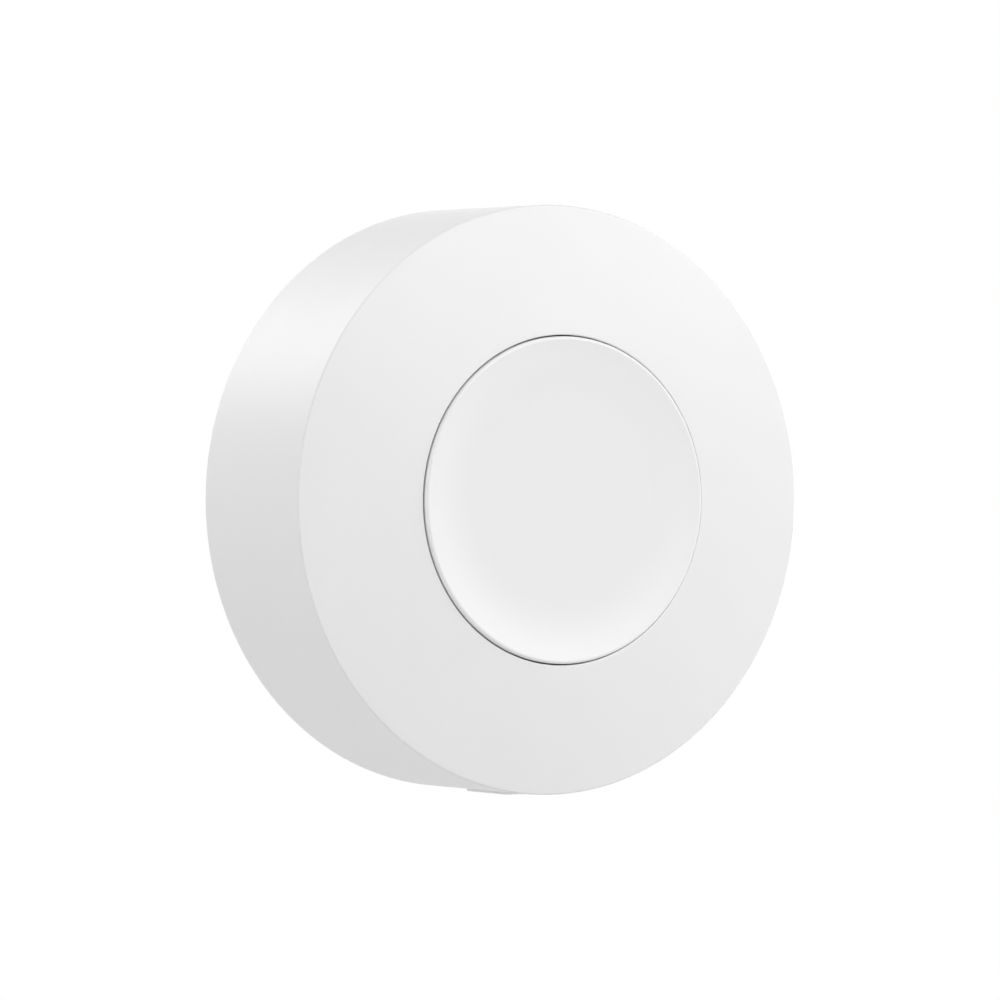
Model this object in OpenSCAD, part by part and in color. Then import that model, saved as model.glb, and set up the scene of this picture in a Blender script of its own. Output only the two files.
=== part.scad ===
// Round wireless push button for a wall: a twist-off housing on a stick-on base.
// The shapes are drawn with the wall at z = 0 and the front at +z, then stood upright.
// Upright, +Z is up, the front faces -Y and the origin is the middle of the pad's wall face.

/* [Housing] */
// Diameter of the housing at its front edge
body_d = 50; // [47:0.5:60]
// Depth of the side wall, rear rim to front edge
wall_depth = 15.6; // [14:0.1:18]
// How much smaller the rear rim is than the front edge, on the radius
wall_draft = 0.15; // [0:0.05:0.4]
// Thickness of the side wall at the front
wall_t = 1.8; // [1.6:0.1:2.4]
// Thickness of the crowned face
face_t = 2; // [1.6:0.1:2.4]
// How far the face crowns from the front edge to the button
face_rise = 2; // [1.5:0.05:3]
// Rounding of the front edge
edge_round = 0.25; // [0.1:0.05:0.8]
// Rounding of the rear rim, and of the back cover's rim
rear_round = 0.2; // [0.1:0.05:0.5]
// Rounding of the face where the button comes through
bore_round = 0.1; // [0.05:0.05:0.3]

/* [Index rib] */
// Width of the low rib under the side wall
rib_w = 2.4; // [1.6:0.1:4]
// How far the rib stands out from the wall
rib_proud = 0.22; // [0.15:0.01:0.5]
// From the rear rim to the rib's square end
rib_start = 4; // [1:0.1:4.5]
// Length of the rib's level part
rib_level = 6; // [4:0.1:6.5]
// Length of the ramp down to the wall
rib_ramp = 3.9; // [3:0.1:4.8]

/* [Button] */
// Diameter of the button
button_d = 27.7; // [24:0.1:28.5]
// Gap round the button, on the radius
button_gap = 0.12; // [0.1:0.01:0.3]
// How far the button's rim stands out from the face
button_proud = 0.3; // [0:0.05:0.4]
// Depth of the dish below the rim
dish_depth = 0.44; // [0.3:0.02:1]
// Diameter of the dish's flat middle
dish_flat_d = 17.2; // [14:0.1:20]
// Rounding of the rim
rim_round = 0.25; // [0.15:0.05:0.6]
// Thickness of the button under the dish
button_t = 1.6; // [1.2:0.1:1.8]
// Thickness of the button's skirt
button_skirt_t = 1.3; // [1:0.1:1.8]
// Thickness of the tabs that stop the button falling out
tab_t = 1.2; // [0.8:0.1:1.5]
// How far the tabs reach past the gap, under the collar
tab_reach = 0.9; // [0.6:0.05:1.1]
// Half of the arc of each tab
tab_half_arc = 25; // [12:1:35]
// Width of the keys that stop the button turning
key_w = 2; // [1.5:0.1:3]
// Height of the keys above the tabs
key_h = 2; // [1.2:0.1:2.2]
// How far the keys reach into the collar
key_reach = 0.75; // [0.5:0.05:0.9]
// Gap round the keys
key_gap = 0.2; // [0.15:0.05:0.3]
// Thickness of the collar that guides the button
collar_t = 1.2; // [1.2:0.1:1.6]
// Height of the collar, from the button's tabs to the face
collar_h = 4.5; // [4.2:0.1:4.8]
// Diameter of the post that works the switch
post_d = 3.2; // [2.5:0.1:3.4]
// Count of the ribs that stiffen the button
stiffener_count = 6; // [3:1:8]
// Thickness of those ribs
stiffener_t = 1; // [0.8:0.1:1.4]
// How far those ribs end short of the post's tip
stiffener_gap = 1.3; // [0.8:0.1:1.6]

/* [Base] */
// Thickness of the back cover
cover_t = 1.8; // [1.6:0.1:2.2]
// Gap between the back cover and the side wall
cover_gap = 0.2; // [0.15:0.05:0.4]
// Diameter of the adhesive pad
pad_d = 34; // [28:0.5:35]
// Thickness of the adhesive pad
pad_t = 0.8; // [0.6:0.1:1.2]
// How far the pad stands out behind the rear rim
pad_proud = 0.4; // [0.3:0.05:0.5]
// Gap round the pad in its recess
pad_gap = 0.15; // [0.1:0.05:0.3]
// Thickness of the ring that carries the bayonet lugs
ring_t = 1.2; // [1:0.1:1.6]
// Thickness of the bayonet lugs
lug_t = 1.2; // [1:0.1:1.5]
// Half of the arc of each lug
lug_half_arc = 8; // [6:0.5:10]
// How far the housing's bayonet ledges stand in from its wall
ledge_w = 1.5; // [1.2:0.1:1.8]
// Thickness of the ledges
ledge_t = 1.1; // [0.9:0.1:1.4]
// Half of the arc of each ledge
ledge_half_arc = 16; // [13:0.5:17]
// Arc of the stop at the end of each ledge
stop_arc = 3; // [2:0.5:5]
// Angle between a lug and its stop
stop_gap = 0.5; // [0.3:0.1:1]
// Sliding gap round the bayonet
bayonet_gap = 0.2; // [0.15:0.05:0.3]
// Middle radius of the finger grips in the back cover
grip_r = 20.1; // [19.6:0.1:20.2]
// Width of the grips
grip_w = 2.6; // [2:0.1:3]
// Depth of the grips
grip_depth = 1; // [0.6:0.1:1.2]
// Arc of each grip
grip_arc = 40; // [25:1:60]

/* [Board] */
// Thickness of the circuit board
board_t = 1; // [0.8:0.1:1.2]
// Gap between the board and the ledges that it passes
board_gap = 0.6; // [0.4:0.1:1]
// From the board's rim to the screws
screw_inset = 2.8; // [2.5:0.1:3.2]
// Diameter of the screw bosses
boss_d = 4.4; // [4:0.1:5]
// Diameter of the screws
screw_d = 2; // [1.6:0.1:2.2]
// Gap round the screws in the board
screw_gap = 0.1; // [0.05:0.05:0.2]
// Gap round the screws in the bosses
thread_gap = 0.05; // [0.02:0.01:0.1]
// Depth that the screws go into the bosses
screw_grip = 4; // [3:0.1:4.2]
// Diameter of the screw heads
screw_head_d = 3.8; // [3.2:0.1:4.2]
// Height of the screw heads
screw_head_h = 1.3; // [1:0.1:1.5]
// Width of the cross in the screw heads
cross_w = 0.6; // [0.4:0.1:0.8]
// Length of the cross
cross_l = 2.2; // [1.6:0.1:2.4]
// Depth of the cross
cross_depth = 0.7; // [0.5:0.1:0.8]

/* [Switch] */
// Side of the square switch body
switch_w = 6; // [5.6:0.1:6.4]
// Height of the switch body under its cover
switch_h = 3.2; // [3:0.1:3.4]
// Diameter of the well in the switch body
well_d = 5.4; // [5.3:0.05:5.5]
// Depth of the well
well_depth = 1.2; // [1.15:0.05:1.4]
// Thickness of the cover's sheet metal
sheet_t = 0.3; // [0.2:0.05:0.4]
// Width of the cover's two side clips
clip_w = 2; // [1.5:0.1:3]
// Length of the clips
clip_l = 2; // [1.2:0.1:2.2]
// Diameter of the plunger
plunger_d = 3.5; // [3.4:0.05:3.6]
// How far the plunger stands above the cover
plunger_h = 0.8; // [0.6:0.1:1]
// Gap round the plunger
plunger_gap = 0.1; // [0.08:0.01:0.15]
// Diameter of the plunger's foot
foot_d = 5; // [4.6:0.1:5.1]
// Thickness of the plunger's foot
foot_t = 0.6; // [0.5:0.05:0.7]
// Diameter of the snap dome
dome_d = 5; // [4.6:0.1:5.2]
// Thickness of the snap dome
dome_t = 0.1; // [0.08:0.01:0.15]
// Gap between the dome and the plunger's foot
dome_gap = 0.03; // [0.02:0.01:0.05]
// Width of the switch's legs
leg_w = 0.7; // [0.5:0.1:0.9]
// Thickness of the legs
leg_t = 0.2; // [0.15:0.05:0.3]
// Height at which the legs leave the switch body
leg_h = 0.8; // [0.6:0.1:1.2]
// How far the legs reach out from the switch body
leg_reach = 1.4; // [1:0.1:1.8]
// Distance between two legs on one side
leg_pitch = 4.5; // [4:0.1:4.8]

/* [Board parts] */
// Side of the radio chip
chip_w = 5; // [4:0.5:6]
// Height of the radio chip
chip_h = 0.9; // [0.7:0.1:1.2]
// Diameter of the dimple that marks the chip's first pin
chip_dot_d = 0.6; // [0.4:0.1:1]
// Depth of the dimple
chip_dot_depth = 0.1; // [0.05:0.05:0.2]
// From the chip's sides to the middle of the dimple
chip_dot_inset = 0.9; // [0.7:0.1:1.2]
// Length of the crystal
crystal_l = 3.2; // [2.5:0.1:3.4]
// Width of the crystal
crystal_w = 2.5; // [2:0.1:2.6]
// Height of the crystal
crystal_h = 0.8; // [0.6:0.1:1]
// Height of the crystal's lid
crystal_lid_h = 0.3; // [0.2:0.05:0.4]
// Width of the rim round the lid
crystal_rim = 0.2; // [0.1:0.05:0.4]
// Length of a ceramic chip part
chip_part_l = 1.6; // [1:0.1:1.6]
// Width of a ceramic chip part
chip_part_w = 0.8; // [0.5:0.05:0.8]
// Height of a ceramic chip part
chip_part_h = 0.7; // [0.5:0.05:0.9]
// Length of the status light
led_l = 2; // [1.6:0.1:2.2]
// Width of the status light
led_w = 1.25; // [0.8:0.05:1.4]
// Height of the status light's base
led_h = 0.4; // [0.3:0.05:0.6]
// Height of the status light's lens
led_lens_h = 0.5; // [0.3:0.05:0.6]
// Width of the antenna's trace
trace_w = 0.8; // [0.6:0.05:0.9]
// Thickness of the antenna's trace
trace_t = 0.1; // [0.05:0.05:0.2]
// Distance between the antenna's runs
trace_pitch = 1.7; // [1.6:0.1:1.9]
// Length of the antenna's runs
trace_run = 4.4; // [3.6:0.1:4.6]
// Count of the antenna's runs
trace_count = 8; // [6:2:8]
// From the board's rim to the middle of the antenna
antenna_inset = 4.7; // [4.5:0.1:5.5]

/* [Coin cell] */
// Diameter of the coin cell
cell_d = 24.5; // [20:0.1:25]
// Thickness of the coin cell
cell_h = 5; // [3.2:0.1:5.2]
// Thickness of the cell's sheet metal
cell_sheet = 0.3; // [0.2:0.05:0.4]
// Rounding of the can's corner, and the thickness of its floor
cell_round = 0.5; // [0.3:0.1:0.8]
// Height of the negative cap that stands out of the can
cell_step = 0.4; // [0.3:0.05:0.5]
// Thickness of the sealing ring
gasket_t = 0.6; // [0.4:0.1:0.8]
// Gap between the cell and the back cover
cell_gap = 0.3; // [0.2:0.05:0.5]

/* [Battery holder] */
// Gap round the cell in its holder
holder_gap = 0.2; // [0.15:0.05:0.3]
// Thickness of the holder's wall
holder_t = 1.2; // [1:0.1:1.4]
// Height of the holder's wall
holder_h = 4.2; // [3.4:0.1:4.4]
// Thickness of the holder's floor
floor_t = 0.5; // [0.4:0.05:0.55]
// Diameter of the hole in the holder's floor
floor_hole_d = 13; // [11:0.5:14]
// Gap between the floor and the cell, for the spring
spring_gap = 0.2; // [0.15:0.05:0.3]
// Width of the windows for the side springs
window_w = 5; // [4.6:0.1:6]
// Width of the finger cuts that free the cell
finger_w = 10; // [8:0.5:12]
// Depth of the finger cuts
finger_depth = 2.4; // [1.5:0.1:2.6]
// Thickness of the springs' sheet metal
spring_t = 0.2; // [0.15:0.01:0.25]
// Width of the side springs
side_spring_w = 4; // [3:0.1:4.2]
// Height of the side springs
side_spring_h = 3.6; // [2.8:0.1:3.8]
// Length of the side springs' feet
side_foot = 2; // [1.5:0.1:2.2]
// Gap between a spring and the cell
contact_gap = 0.02; // [0.02:0.01:0.05]
// Length of the leaf spring
leaf_l = 9; // [7:0.1:9.5]
// Width of the leaf spring
leaf_w = 3; // [2.4:0.1:4]
// Length of the leaf spring's foot
leaf_foot = 2; // [1.5:0.1:2.4]

/* [Hidden] */
$fn = 96;

// Steps of a drawn arc, and how far one solid runs into another that it joins or cuts
arc_steps = 8;
crown_steps = 24;
bite = 0.4;

// How far the rib's ramp ends below the wall's surface
rib_sink = 0.05;

// Three lugs, ledges and tabs share these angles, and the three screws sit between them
third = 120;
lock_angles = [90, 90 + third, 90 + 2 * third];
screw_angles = [30, 30 + third, 30 + 2 * third];
down = -90;

// Angles in an outline: out from the axis, to the front, in to the axis and to the wall
outward = 0;
frontward = 90;
inward = 180;
wallward = -90;

// Radii, from the outside in
body_r = body_d / 2;
rear_r = body_r - wall_draft;
inner_r = body_r - wall_t;
cover_r = inner_r - cover_gap;
lug_r = inner_r - bayonet_gap;
ledge_r = inner_r - ledge_w;
ring_r = ledge_r - bayonet_gap;
board_r = ledge_r - board_gap;
screw_ring_r = board_r - screw_inset;
button_r = button_d / 2;
bore_r = button_r + button_gap;
collar_r = bore_r + collar_t;
pad_r = pad_d / 2;
cell_r = cell_d / 2;
cap_r = cell_r - cell_sheet - gasket_t;
holder_in_r = cell_r + holder_gap;
holder_r = holder_in_r + holder_t;

// Heights above the wall, from the back to the front
rear_z = pad_proud;
cover_z = rear_z + cover_t;
cell_z = cover_z + cell_gap;
filling_z = cell_z + cell_round;
cell_top_z = cell_z + cell_h;
board_z = cell_top_z + spring_gap + floor_t;
board_top_z = board_z + board_t;
switch_z = board_top_z + switch_h;
plunger_z = switch_z + sheet_t + plunger_h;
edge_z = rear_z + wall_depth;
crown_z = edge_z + face_rise;
rim_z = crown_z + button_proud;
dish_z = rim_z - dish_depth;
button_under_z = dish_z - button_t;
collar_z = crown_z - collar_h;
ledge_z = cover_z + 2 * bayonet_gap;
lug_z = ledge_z + ledge_t + bayonet_gap;
ring_z = lug_z + lug_t;

// The crowned face is part of a ball through the front edge and the bore
crown_c = (body_r ^ 2 - bore_r ^ 2 - face_rise ^ 2) / (2 * face_rise);
crown_centre = edge_z - crown_c;
crown_r = sqrt(body_r ^ 2 + crown_c ^ 2);
under_r = crown_r - face_t;

// Centres of the board parts, set round the switch
chip_at = [-8.8, 2.5];
crystal_at = [-8.8, -4];
led_at = [8.8, -3.2];
part_places = [[-5.6, 8.2], [-8, 8.2], [-10.4, 8.2], [-5, -7.4], [-7.4, -7.4], [-9.8, -7.4],
               [8.8, -0.6], [8.8, 1], [8.8, 2.6], [3.6, 7.6]];
antenna_at = [0, board_r - antenna_inset];

// Points of an arc round c, from one angle to another
function arc(c, r, from, to, steps = arc_steps) =
    [for (i = [0:steps]) c + r * [cos(from + (to - from) * i / steps), sin(from + (to - from) * i / steps)]];

// Height of a ball of radius r about the crown's centre, at a distance x from the axis
function ball_z(r, x) = crown_centre + sqrt(r ^ 2 - x ^ 2);

// Angle of a point on that ball, seen from the crown's centre
function ball_angle(p) = atan2(p[1] - crown_centre, p[0]);

// Stands a shape that is drawn along z upright, with its front to -Y
module upright() {
    rotate([90, 0, 0])
        children();
}

// A ring, or a piece of one, between two radii and two heights
module ring(r0, r1, z0, z1, from = 0, sweep = 360) {
    rotate(from)
        rotate_extrude(angle = sweep)
            translate([r0, z0])
                square([r1 - r0, z1 - z0]);
}

// A box centred on x and y, from z0 to z1
module block(w, l, z0, z1) {
    translate([-w / 2, -l / 2, z0])
        cube([w, l, z1 - z0]);
}

// Outline of the housing from the rear rim over the face to the collar, and back inside
module shell_outline() {
    edge_c = [body_r - edge_round, ball_z(crown_r - edge_round, body_r - edge_round)];
    bore_c = [bore_r + bore_round, ball_z(crown_r - bore_round, bore_r + bore_round)];
    rear_c = [rear_r - rear_round, rear_z + rear_round];
    polygon(concat(
        arc(rear_c, rear_round, wallward, outward),
        arc(edge_c, edge_round, outward, ball_angle(edge_c)),
        arc([0, crown_centre], crown_r, ball_angle(edge_c), ball_angle(bore_c), crown_steps),
        arc(bore_c, bore_round, ball_angle(bore_c), inward),
        [[bore_r, collar_z], [collar_r, collar_z]],
        arc([0, crown_centre], under_r, acos(collar_r / under_r), acos(inner_r / under_r), crown_steps),
        [[inner_r, rear_z]]
    ));
}

// Side view of the index rib: square at the rear, a smooth ramp to the wall at the front
module rib_outline() {
    start_z = rear_z + rib_start;
    ramp_z = start_z + rib_level;
    function wall_x(z) = rear_r + wall_draft * (z - rear_z) / wall_depth;
    function rib_x(t) = wall_x(ramp_z + rib_ramp * t) + rib_proud * (1 + cos(180 * t)) / 2 - rib_sink * t;
    polygon(concat(
        [[inner_r + bite, start_z], [wall_x(start_z), start_z]],
        arc([wall_x(start_z), start_z + rib_proud], rib_proud, wallward, outward),
        [for (i = [0:arc_steps]) [rib_x(i / arc_steps), ramp_z + rib_ramp * i / arc_steps]],
        [[inner_r + bite, ramp_z + rib_ramp]]
    ));
}

// Housing: wall, crowned face, collar, screw bosses, bayonet ledges and the rib under the wall
module front_shell() {
    slot_r = button_r + key_reach + key_gap;
    boss_top = ball_z(under_r, screw_ring_r - boss_d / 2) + bite;
    upright() color("white") difference() {
        union() {
            rotate_extrude()
                shell_outline();
            rotate(down)
                rotate([90, 0, 0])
                    linear_extrude(rib_w, center = true)
                        rib_outline();
            for (a = screw_angles)
                rotate(a)
                    translate([screw_ring_r, 0, board_top_z])
                        cylinder(d = boss_d, h = boss_top - board_top_z);
            for (a = lock_angles) {
                ring(ledge_r, inner_r + bite, ledge_z, ledge_z + ledge_t,
                     a - ledge_half_arc, 2 * ledge_half_arc);
                ring(ledge_r + bayonet_gap, inner_r + bite, ledge_z + bite, ring_z,
                     a + lug_half_arc + stop_gap, stop_arc);
            }
        }
        for (a = screw_angles)
            rotate(a)
                translate([screw_ring_r, 0, board_top_z - bite])
                    cylinder(d = screw_d + 2 * thread_gap, h = screw_grip + 2 * bite);
        for (a = lock_angles)
            rotate(a)
                translate([bore_r - bite, -key_w / 2 - key_gap, collar_z - bite])
                    cube([slot_r - bore_r + bite, key_w + 2 * key_gap, key_h + key_gap + bite]);
    }
}

// Outline of the button: flat middle, dish, rounded rim and skirt
module button_outline() {
    rim_c = [button_r - rim_round, rim_z - rim_round];
    run = rim_c[0] - dish_flat_d / 2;
    blend_r = (run ^ 2 + dish_depth ^ 2) / (2 * dish_depth);
    dish_r = blend_r - rim_round;
    slope = asin(run / blend_r);
    skirt_in = button_r - button_skirt_t;
    tab_z = collar_z - tab_t;
    polygon(concat(
        [[0, dish_z]],
        arc([dish_flat_d / 2, dish_z + dish_r], dish_r, wallward, wallward + slope, 2 * arc_steps),
        arc(rim_c, rim_round, frontward + slope, outward, 2 * arc_steps),
        [[button_r, tab_z], [skirt_in, tab_z], [skirt_in, button_under_z], [0, button_under_z]]
    ));
}

// Button: dished face, guide skirt, tabs under the collar, keys in its slots and the switch post
module button_cap() {
    skirt_in = button_r - button_skirt_t;
    stiffener_h = button_under_z - plunger_z - stiffener_gap;
    upright() color("white") {
        rotate_extrude()
            button_outline();
        for (a = lock_angles) {
            ring(skirt_in, bore_r + tab_reach, collar_z - tab_t, collar_z,
                 a - tab_half_arc, 2 * tab_half_arc);
            rotate(a)
                translate([skirt_in + bite, -key_w / 2, collar_z - bite])
                    cube([button_r + key_reach - skirt_in - bite, key_w, key_h + bite]);
        }
        translate([0, 0, plunger_z])
            cylinder(d = post_d, h = button_under_z + bite - plunger_z);
        for (i = [0:stiffener_count - 1])
            rotate(i * 360 / stiffener_count)
                translate([0, -stiffener_t / 2, button_under_z - stiffener_h])
                    cube([skirt_in + bite, stiffener_t, stiffener_h + bite]);
    }
}

// Outline of the back cover: disc with a recess for the pad, and the ring for the lugs
module cover_outline() {
    recess_r = pad_r + pad_gap;
    ring_in = ring_r - ring_t;
    polygon(concat(
        [[0, pad_t], [recess_r, pad_t], [recess_r, rear_z]],
        arc([cover_r - rear_round, rear_z + rear_round], rear_round, wallward, outward),
        [[cover_r, cover_z], [ring_r, cover_z], [ring_r, ring_z], [ring_in, ring_z], [ring_in, cover_z],
         [0, cover_z]]
    ));
}

// Back cover: stays on the wall, with three lugs that the housing twists onto and two finger grips
module back_cover() {
    upright() color("whitesmoke") difference() {
        union() {
            rotate_extrude()
                cover_outline();
            for (a = lock_angles)
                ring(ring_r - bite, lug_r, lug_z, ring_z, a - lug_half_arc, 2 * lug_half_arc);
        }
        for (a = [0, 180])
            ring(grip_r - grip_w / 2, grip_r + grip_w / 2, rear_z - bite, rear_z + grip_depth,
                 a - grip_arc / 2, grip_arc);
    }
}

// Adhesive pad: a disc of foam tape
module adhesive_pad() {
    upright() color("gainsboro")
        cylinder(r = pad_r, h = pad_t);
}

// Circuit board: a round board with three screw holes
module circuit_board() {
    upright() color("darkgreen") difference() {
        translate([0, 0, board_z])
            cylinder(r = board_r, h = board_t);
        for (a = screw_angles)
            rotate(a)
                translate([screw_ring_r, 0, board_z - bite])
                    cylinder(d = screw_d + 2 * screw_gap, h = board_t + 2 * bite);
    }
}

// Board screws: three pan heads against the board's rear face, with a cross in each
module board_screws() {
    head_z = board_z - screw_head_h;
    upright() color("silver")
        for (a = screw_angles)
            rotate(a)
                translate([screw_ring_r, 0, 0])
                    difference() {
                        union() {
                            translate([0, 0, head_z])
                                cylinder(d = screw_head_d, h = screw_head_h);
                            translate([0, 0, head_z])
                                cylinder(d = screw_d, h = screw_head_h + board_t + screw_grip);
                        }
                        block(cross_l, cross_w, head_z - bite, head_z + cross_depth);
                        block(cross_w, cross_l, head_z - bite, head_z + cross_depth);
                    }
}

// Switch body: a square block with a round well for the dome
module switch_base() {
    upright() color("dimgray") difference() {
        block(switch_w, switch_w, board_top_z, switch_z);
        translate([0, 0, switch_z - well_depth])
            cylinder(d = well_d, h = well_depth + bite);
    }
}

// Switch legs: four bent strips from the switch body to the board
module switch_terminals() {
    leg_z = board_top_z + leg_h;
    knee = leg_reach / 2;
    upright() color("silver")
        for (side = [0, 180], place = [-1, 1])
            rotate(side)
                translate([switch_w / 2, place * leg_pitch / 2 + leg_w / 2, 0])
                    rotate([90, 0, 0])
                        linear_extrude(leg_w)
                            polygon([[0, leg_z], [knee, leg_z], [knee, board_top_z + leg_t],
                                     [leg_reach, board_top_z + leg_t], [leg_reach, board_top_z],
                                     [knee - leg_t, board_top_z], [knee - leg_t, leg_z - leg_t],
                                     [0, leg_z - leg_t]]);
}

// Snap dome: a thin bowed disc on the floor of the well, just under the plunger
module switch_dome() {
    dome_r = dome_d / 2;
    dome_h = well_depth - foot_t - dome_gap;
    ball_r = (dome_r ^ 2 + dome_h ^ 2) / (2 * dome_h);
    ball_c = [0, switch_z - foot_t - dome_gap - ball_r];
    lip = acos(dome_r / ball_r);
    inner_lip = asin((ball_r - dome_h) / (ball_r - dome_t));
    upright() color("lightsteelblue")
        rotate_extrude()
            polygon(concat(
                arc(ball_c, ball_r, lip, frontward),
                arc(ball_c, ball_r - dome_t, frontward, inner_lip)
            ));
}

// Switch plunger: a round stem with a foot that the cover holds in
module switch_plunger() {
    upright() color("black") {
        translate([0, 0, switch_z - foot_t])
            cylinder(d = foot_d, h = foot_t);
        translate([0, 0, switch_z - foot_t])
            cylinder(d = plunger_d, h = foot_t + sheet_t + plunger_h);
    }
}

// Switch cover: a metal plate with a hole for the plunger and two clips down the sides
module switch_cover() {
    upright() color("silver") {
        difference() {
            block(switch_w, switch_w + 2 * sheet_t, switch_z, switch_z + sheet_t);
            translate([0, 0, switch_z - bite])
                cylinder(d = plunger_d + 2 * plunger_gap, h = sheet_t + 2 * bite);
        }
        for (side = [-1, 1])
            translate([0, side * (switch_w + sheet_t) / 2, 0])
                block(clip_w, sheet_t, switch_z - clip_l, switch_z + sheet_t);
    }
}

// Radio chip: a flat square package with a dimple at its first pin
module radio_chip() {
    chip_z = board_top_z + chip_h;
    dot = chip_w / 2 - chip_dot_inset;
    upright() color("black")
        translate(chip_at)
            difference() {
                block(chip_w, chip_w, board_top_z, chip_z);
                translate([-dot, dot, chip_z - chip_dot_depth])
                    cylinder(d = chip_dot_d, h = chip_dot_depth + bite);
            }
}

// Clock crystal: a flat base with a metal lid on it
module crystal() {
    lid_z = board_top_z + crystal_h;
    upright() color("silver")
        translate(crystal_at) {
            block(crystal_l, crystal_w, board_top_z, lid_z - crystal_lid_h);
            block(crystal_l - 2 * crystal_rim, crystal_w - 2 * crystal_rim, board_top_z, lid_z);
        }
}

// Antenna: one meander of flat runs joined end to end
module antenna() {
    trace_z = board_top_z + trace_t;
    first = -(trace_count - 1) / 2 * trace_pitch;
    upright() color("goldenrod")
        translate(antenna_at)
            for (i = [0:trace_count - 1]) {
                translate([first + i * trace_pitch, 0])
                    block(trace_w, trace_run, board_top_z, trace_z);
                if (i < trace_count - 1)
                    translate([first + (i + 0.5) * trace_pitch,
                               (i % 2 == 0 ? 1 : -1) * (trace_run - trace_w) / 2])
                        block(trace_pitch + trace_w, trace_w, board_top_z, trace_z);
            }
}

// Ceramic chip parts
module capacitors() {
    upright() color("tan")
        for (at = part_places)
            translate(at)
                block(chip_part_l, chip_part_w, board_top_z, board_top_z + chip_part_h);
}

// Status light: a base and a smaller lens
module status_led() {
    upright() color("ivory")
        translate(led_at) {
            block(led_l, led_w, board_top_z, board_top_z + led_h);
            block(led_w, led_w, board_top_z, board_top_z + led_h + led_lens_h);
        }
}

// Battery holder: a floor against the board and a wall with two windows and two finger cuts
module battery_holder() {
    rim_z = board_z - holder_h;
    upright() color("black") difference() {
        union() {
            ring(holder_in_r, holder_r, rim_z, board_z);
            ring(floor_hole_d / 2, holder_r, board_z - floor_t, board_z);
        }
        for (side = [-1, 1]) {
            translate([side * holder_r, 0, 0])
                block(2 * (holder_r - cell_r + bite), window_w, rim_z - bite, board_z + bite);
            translate([0, side * holder_r, 0])
                block(finger_w, holder_r, rim_z - bite, rim_z + finger_depth);
        }
    }
}

// Side springs: two strips on feet, each bowed in to the cell's can
module positive_contacts() {
    touch_x = cell_r + contact_gap;
    back_x = touch_x + holder_gap;
    tip_z = board_z - side_spring_h;
    bow_z = (tip_z + board_z) / 2;
    upright() color("gold")
        for (side = [0, 180])
            rotate(side)
                translate([0, side_spring_w / 2, 0])
                    rotate([90, 0, 0])
                        linear_extrude(side_spring_w)
                            polygon([[back_x, tip_z], [touch_x, bow_z], [back_x, board_z],
                                     [back_x + side_foot, board_z], [back_x + side_foot, board_z - spring_t],
                                     [back_x + spring_t, board_z - spring_t], [touch_x + spring_t, bow_z],
                                     [back_x + spring_t, tip_z]]);
}

// Leaf spring: a foot on the board and a leaf bowed to the cell's negative cap
module negative_contact() {
    crest_z = cell_top_z + contact_gap;
    crest_x = leaf_l / 2 - leaf_foot;
    upright() color("gold")
        translate([-leaf_l / 2, leaf_w / 2, 0])
            rotate([90, 0, 0])
                linear_extrude(leaf_w)
                    polygon([[0, board_z], [leaf_foot, board_z], [leaf_foot + crest_x, crest_z + spring_t],
                             [leaf_l, board_z - spring_t], [leaf_l, board_z - 2 * spring_t],
                             [leaf_foot + crest_x, crest_z], [leaf_foot, board_z - spring_t],
                             [0, board_z - spring_t]]);
}

// Cell can: the positive cup, open towards the board
module cell_can() {
    can_z = cell_top_z - cell_step;
    inside_r = cell_r - cell_sheet;
    upright() color("lightgray")
        rotate_extrude()
            polygon(concat(
                [[0, cell_z]],
                arc([cell_r - cell_round, cell_z + cell_round], cell_round, wallward, outward),
                [[cell_r, can_z], [inside_r, can_z], [inside_r, filling_z], [0, filling_z]]
            ));
}

// Cell gasket: the sealing ring between can and cap
module cell_gasket() {
    upright() color("dimgray")
        ring(cap_r, cap_r + gasket_t, filling_z, cell_top_z - cell_step);
}

// Cell cap: the negative cup, closed towards the board
module cell_cap() {
    upright() color("lightgray") difference() {
        translate([0, 0, filling_z])
            cylinder(r = cap_r, h = cell_top_z - filling_z);
        translate([0, 0, filling_z - bite])
            cylinder(r = cap_r - cell_sheet, h = cell_top_z - cell_sheet - filling_z + bite);
    }
}

// Cell filling: the pressed discs inside the cell
module cell_filling() {
    upright() color("dimgray")
        translate([0, 0, filling_z])
            cylinder(r = cap_r - cell_sheet, h = cell_top_z - cell_sheet - filling_z);
}

front_shell();
button_cap();
back_cover();
adhesive_pad();
circuit_board();
board_screws();
switch_base();
switch_terminals();
switch_dome();
switch_plunger();
switch_cover();
radio_chip();
crystal();
antenna();
capacitors();
status_led();
battery_holder();
positive_contacts();
negative_contact();
cell_can();
cell_gasket();
cell_cap();
cell_filling();
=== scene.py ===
import math

import bmesh
import bpy
from mathutils import Matrix, Vector


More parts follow.
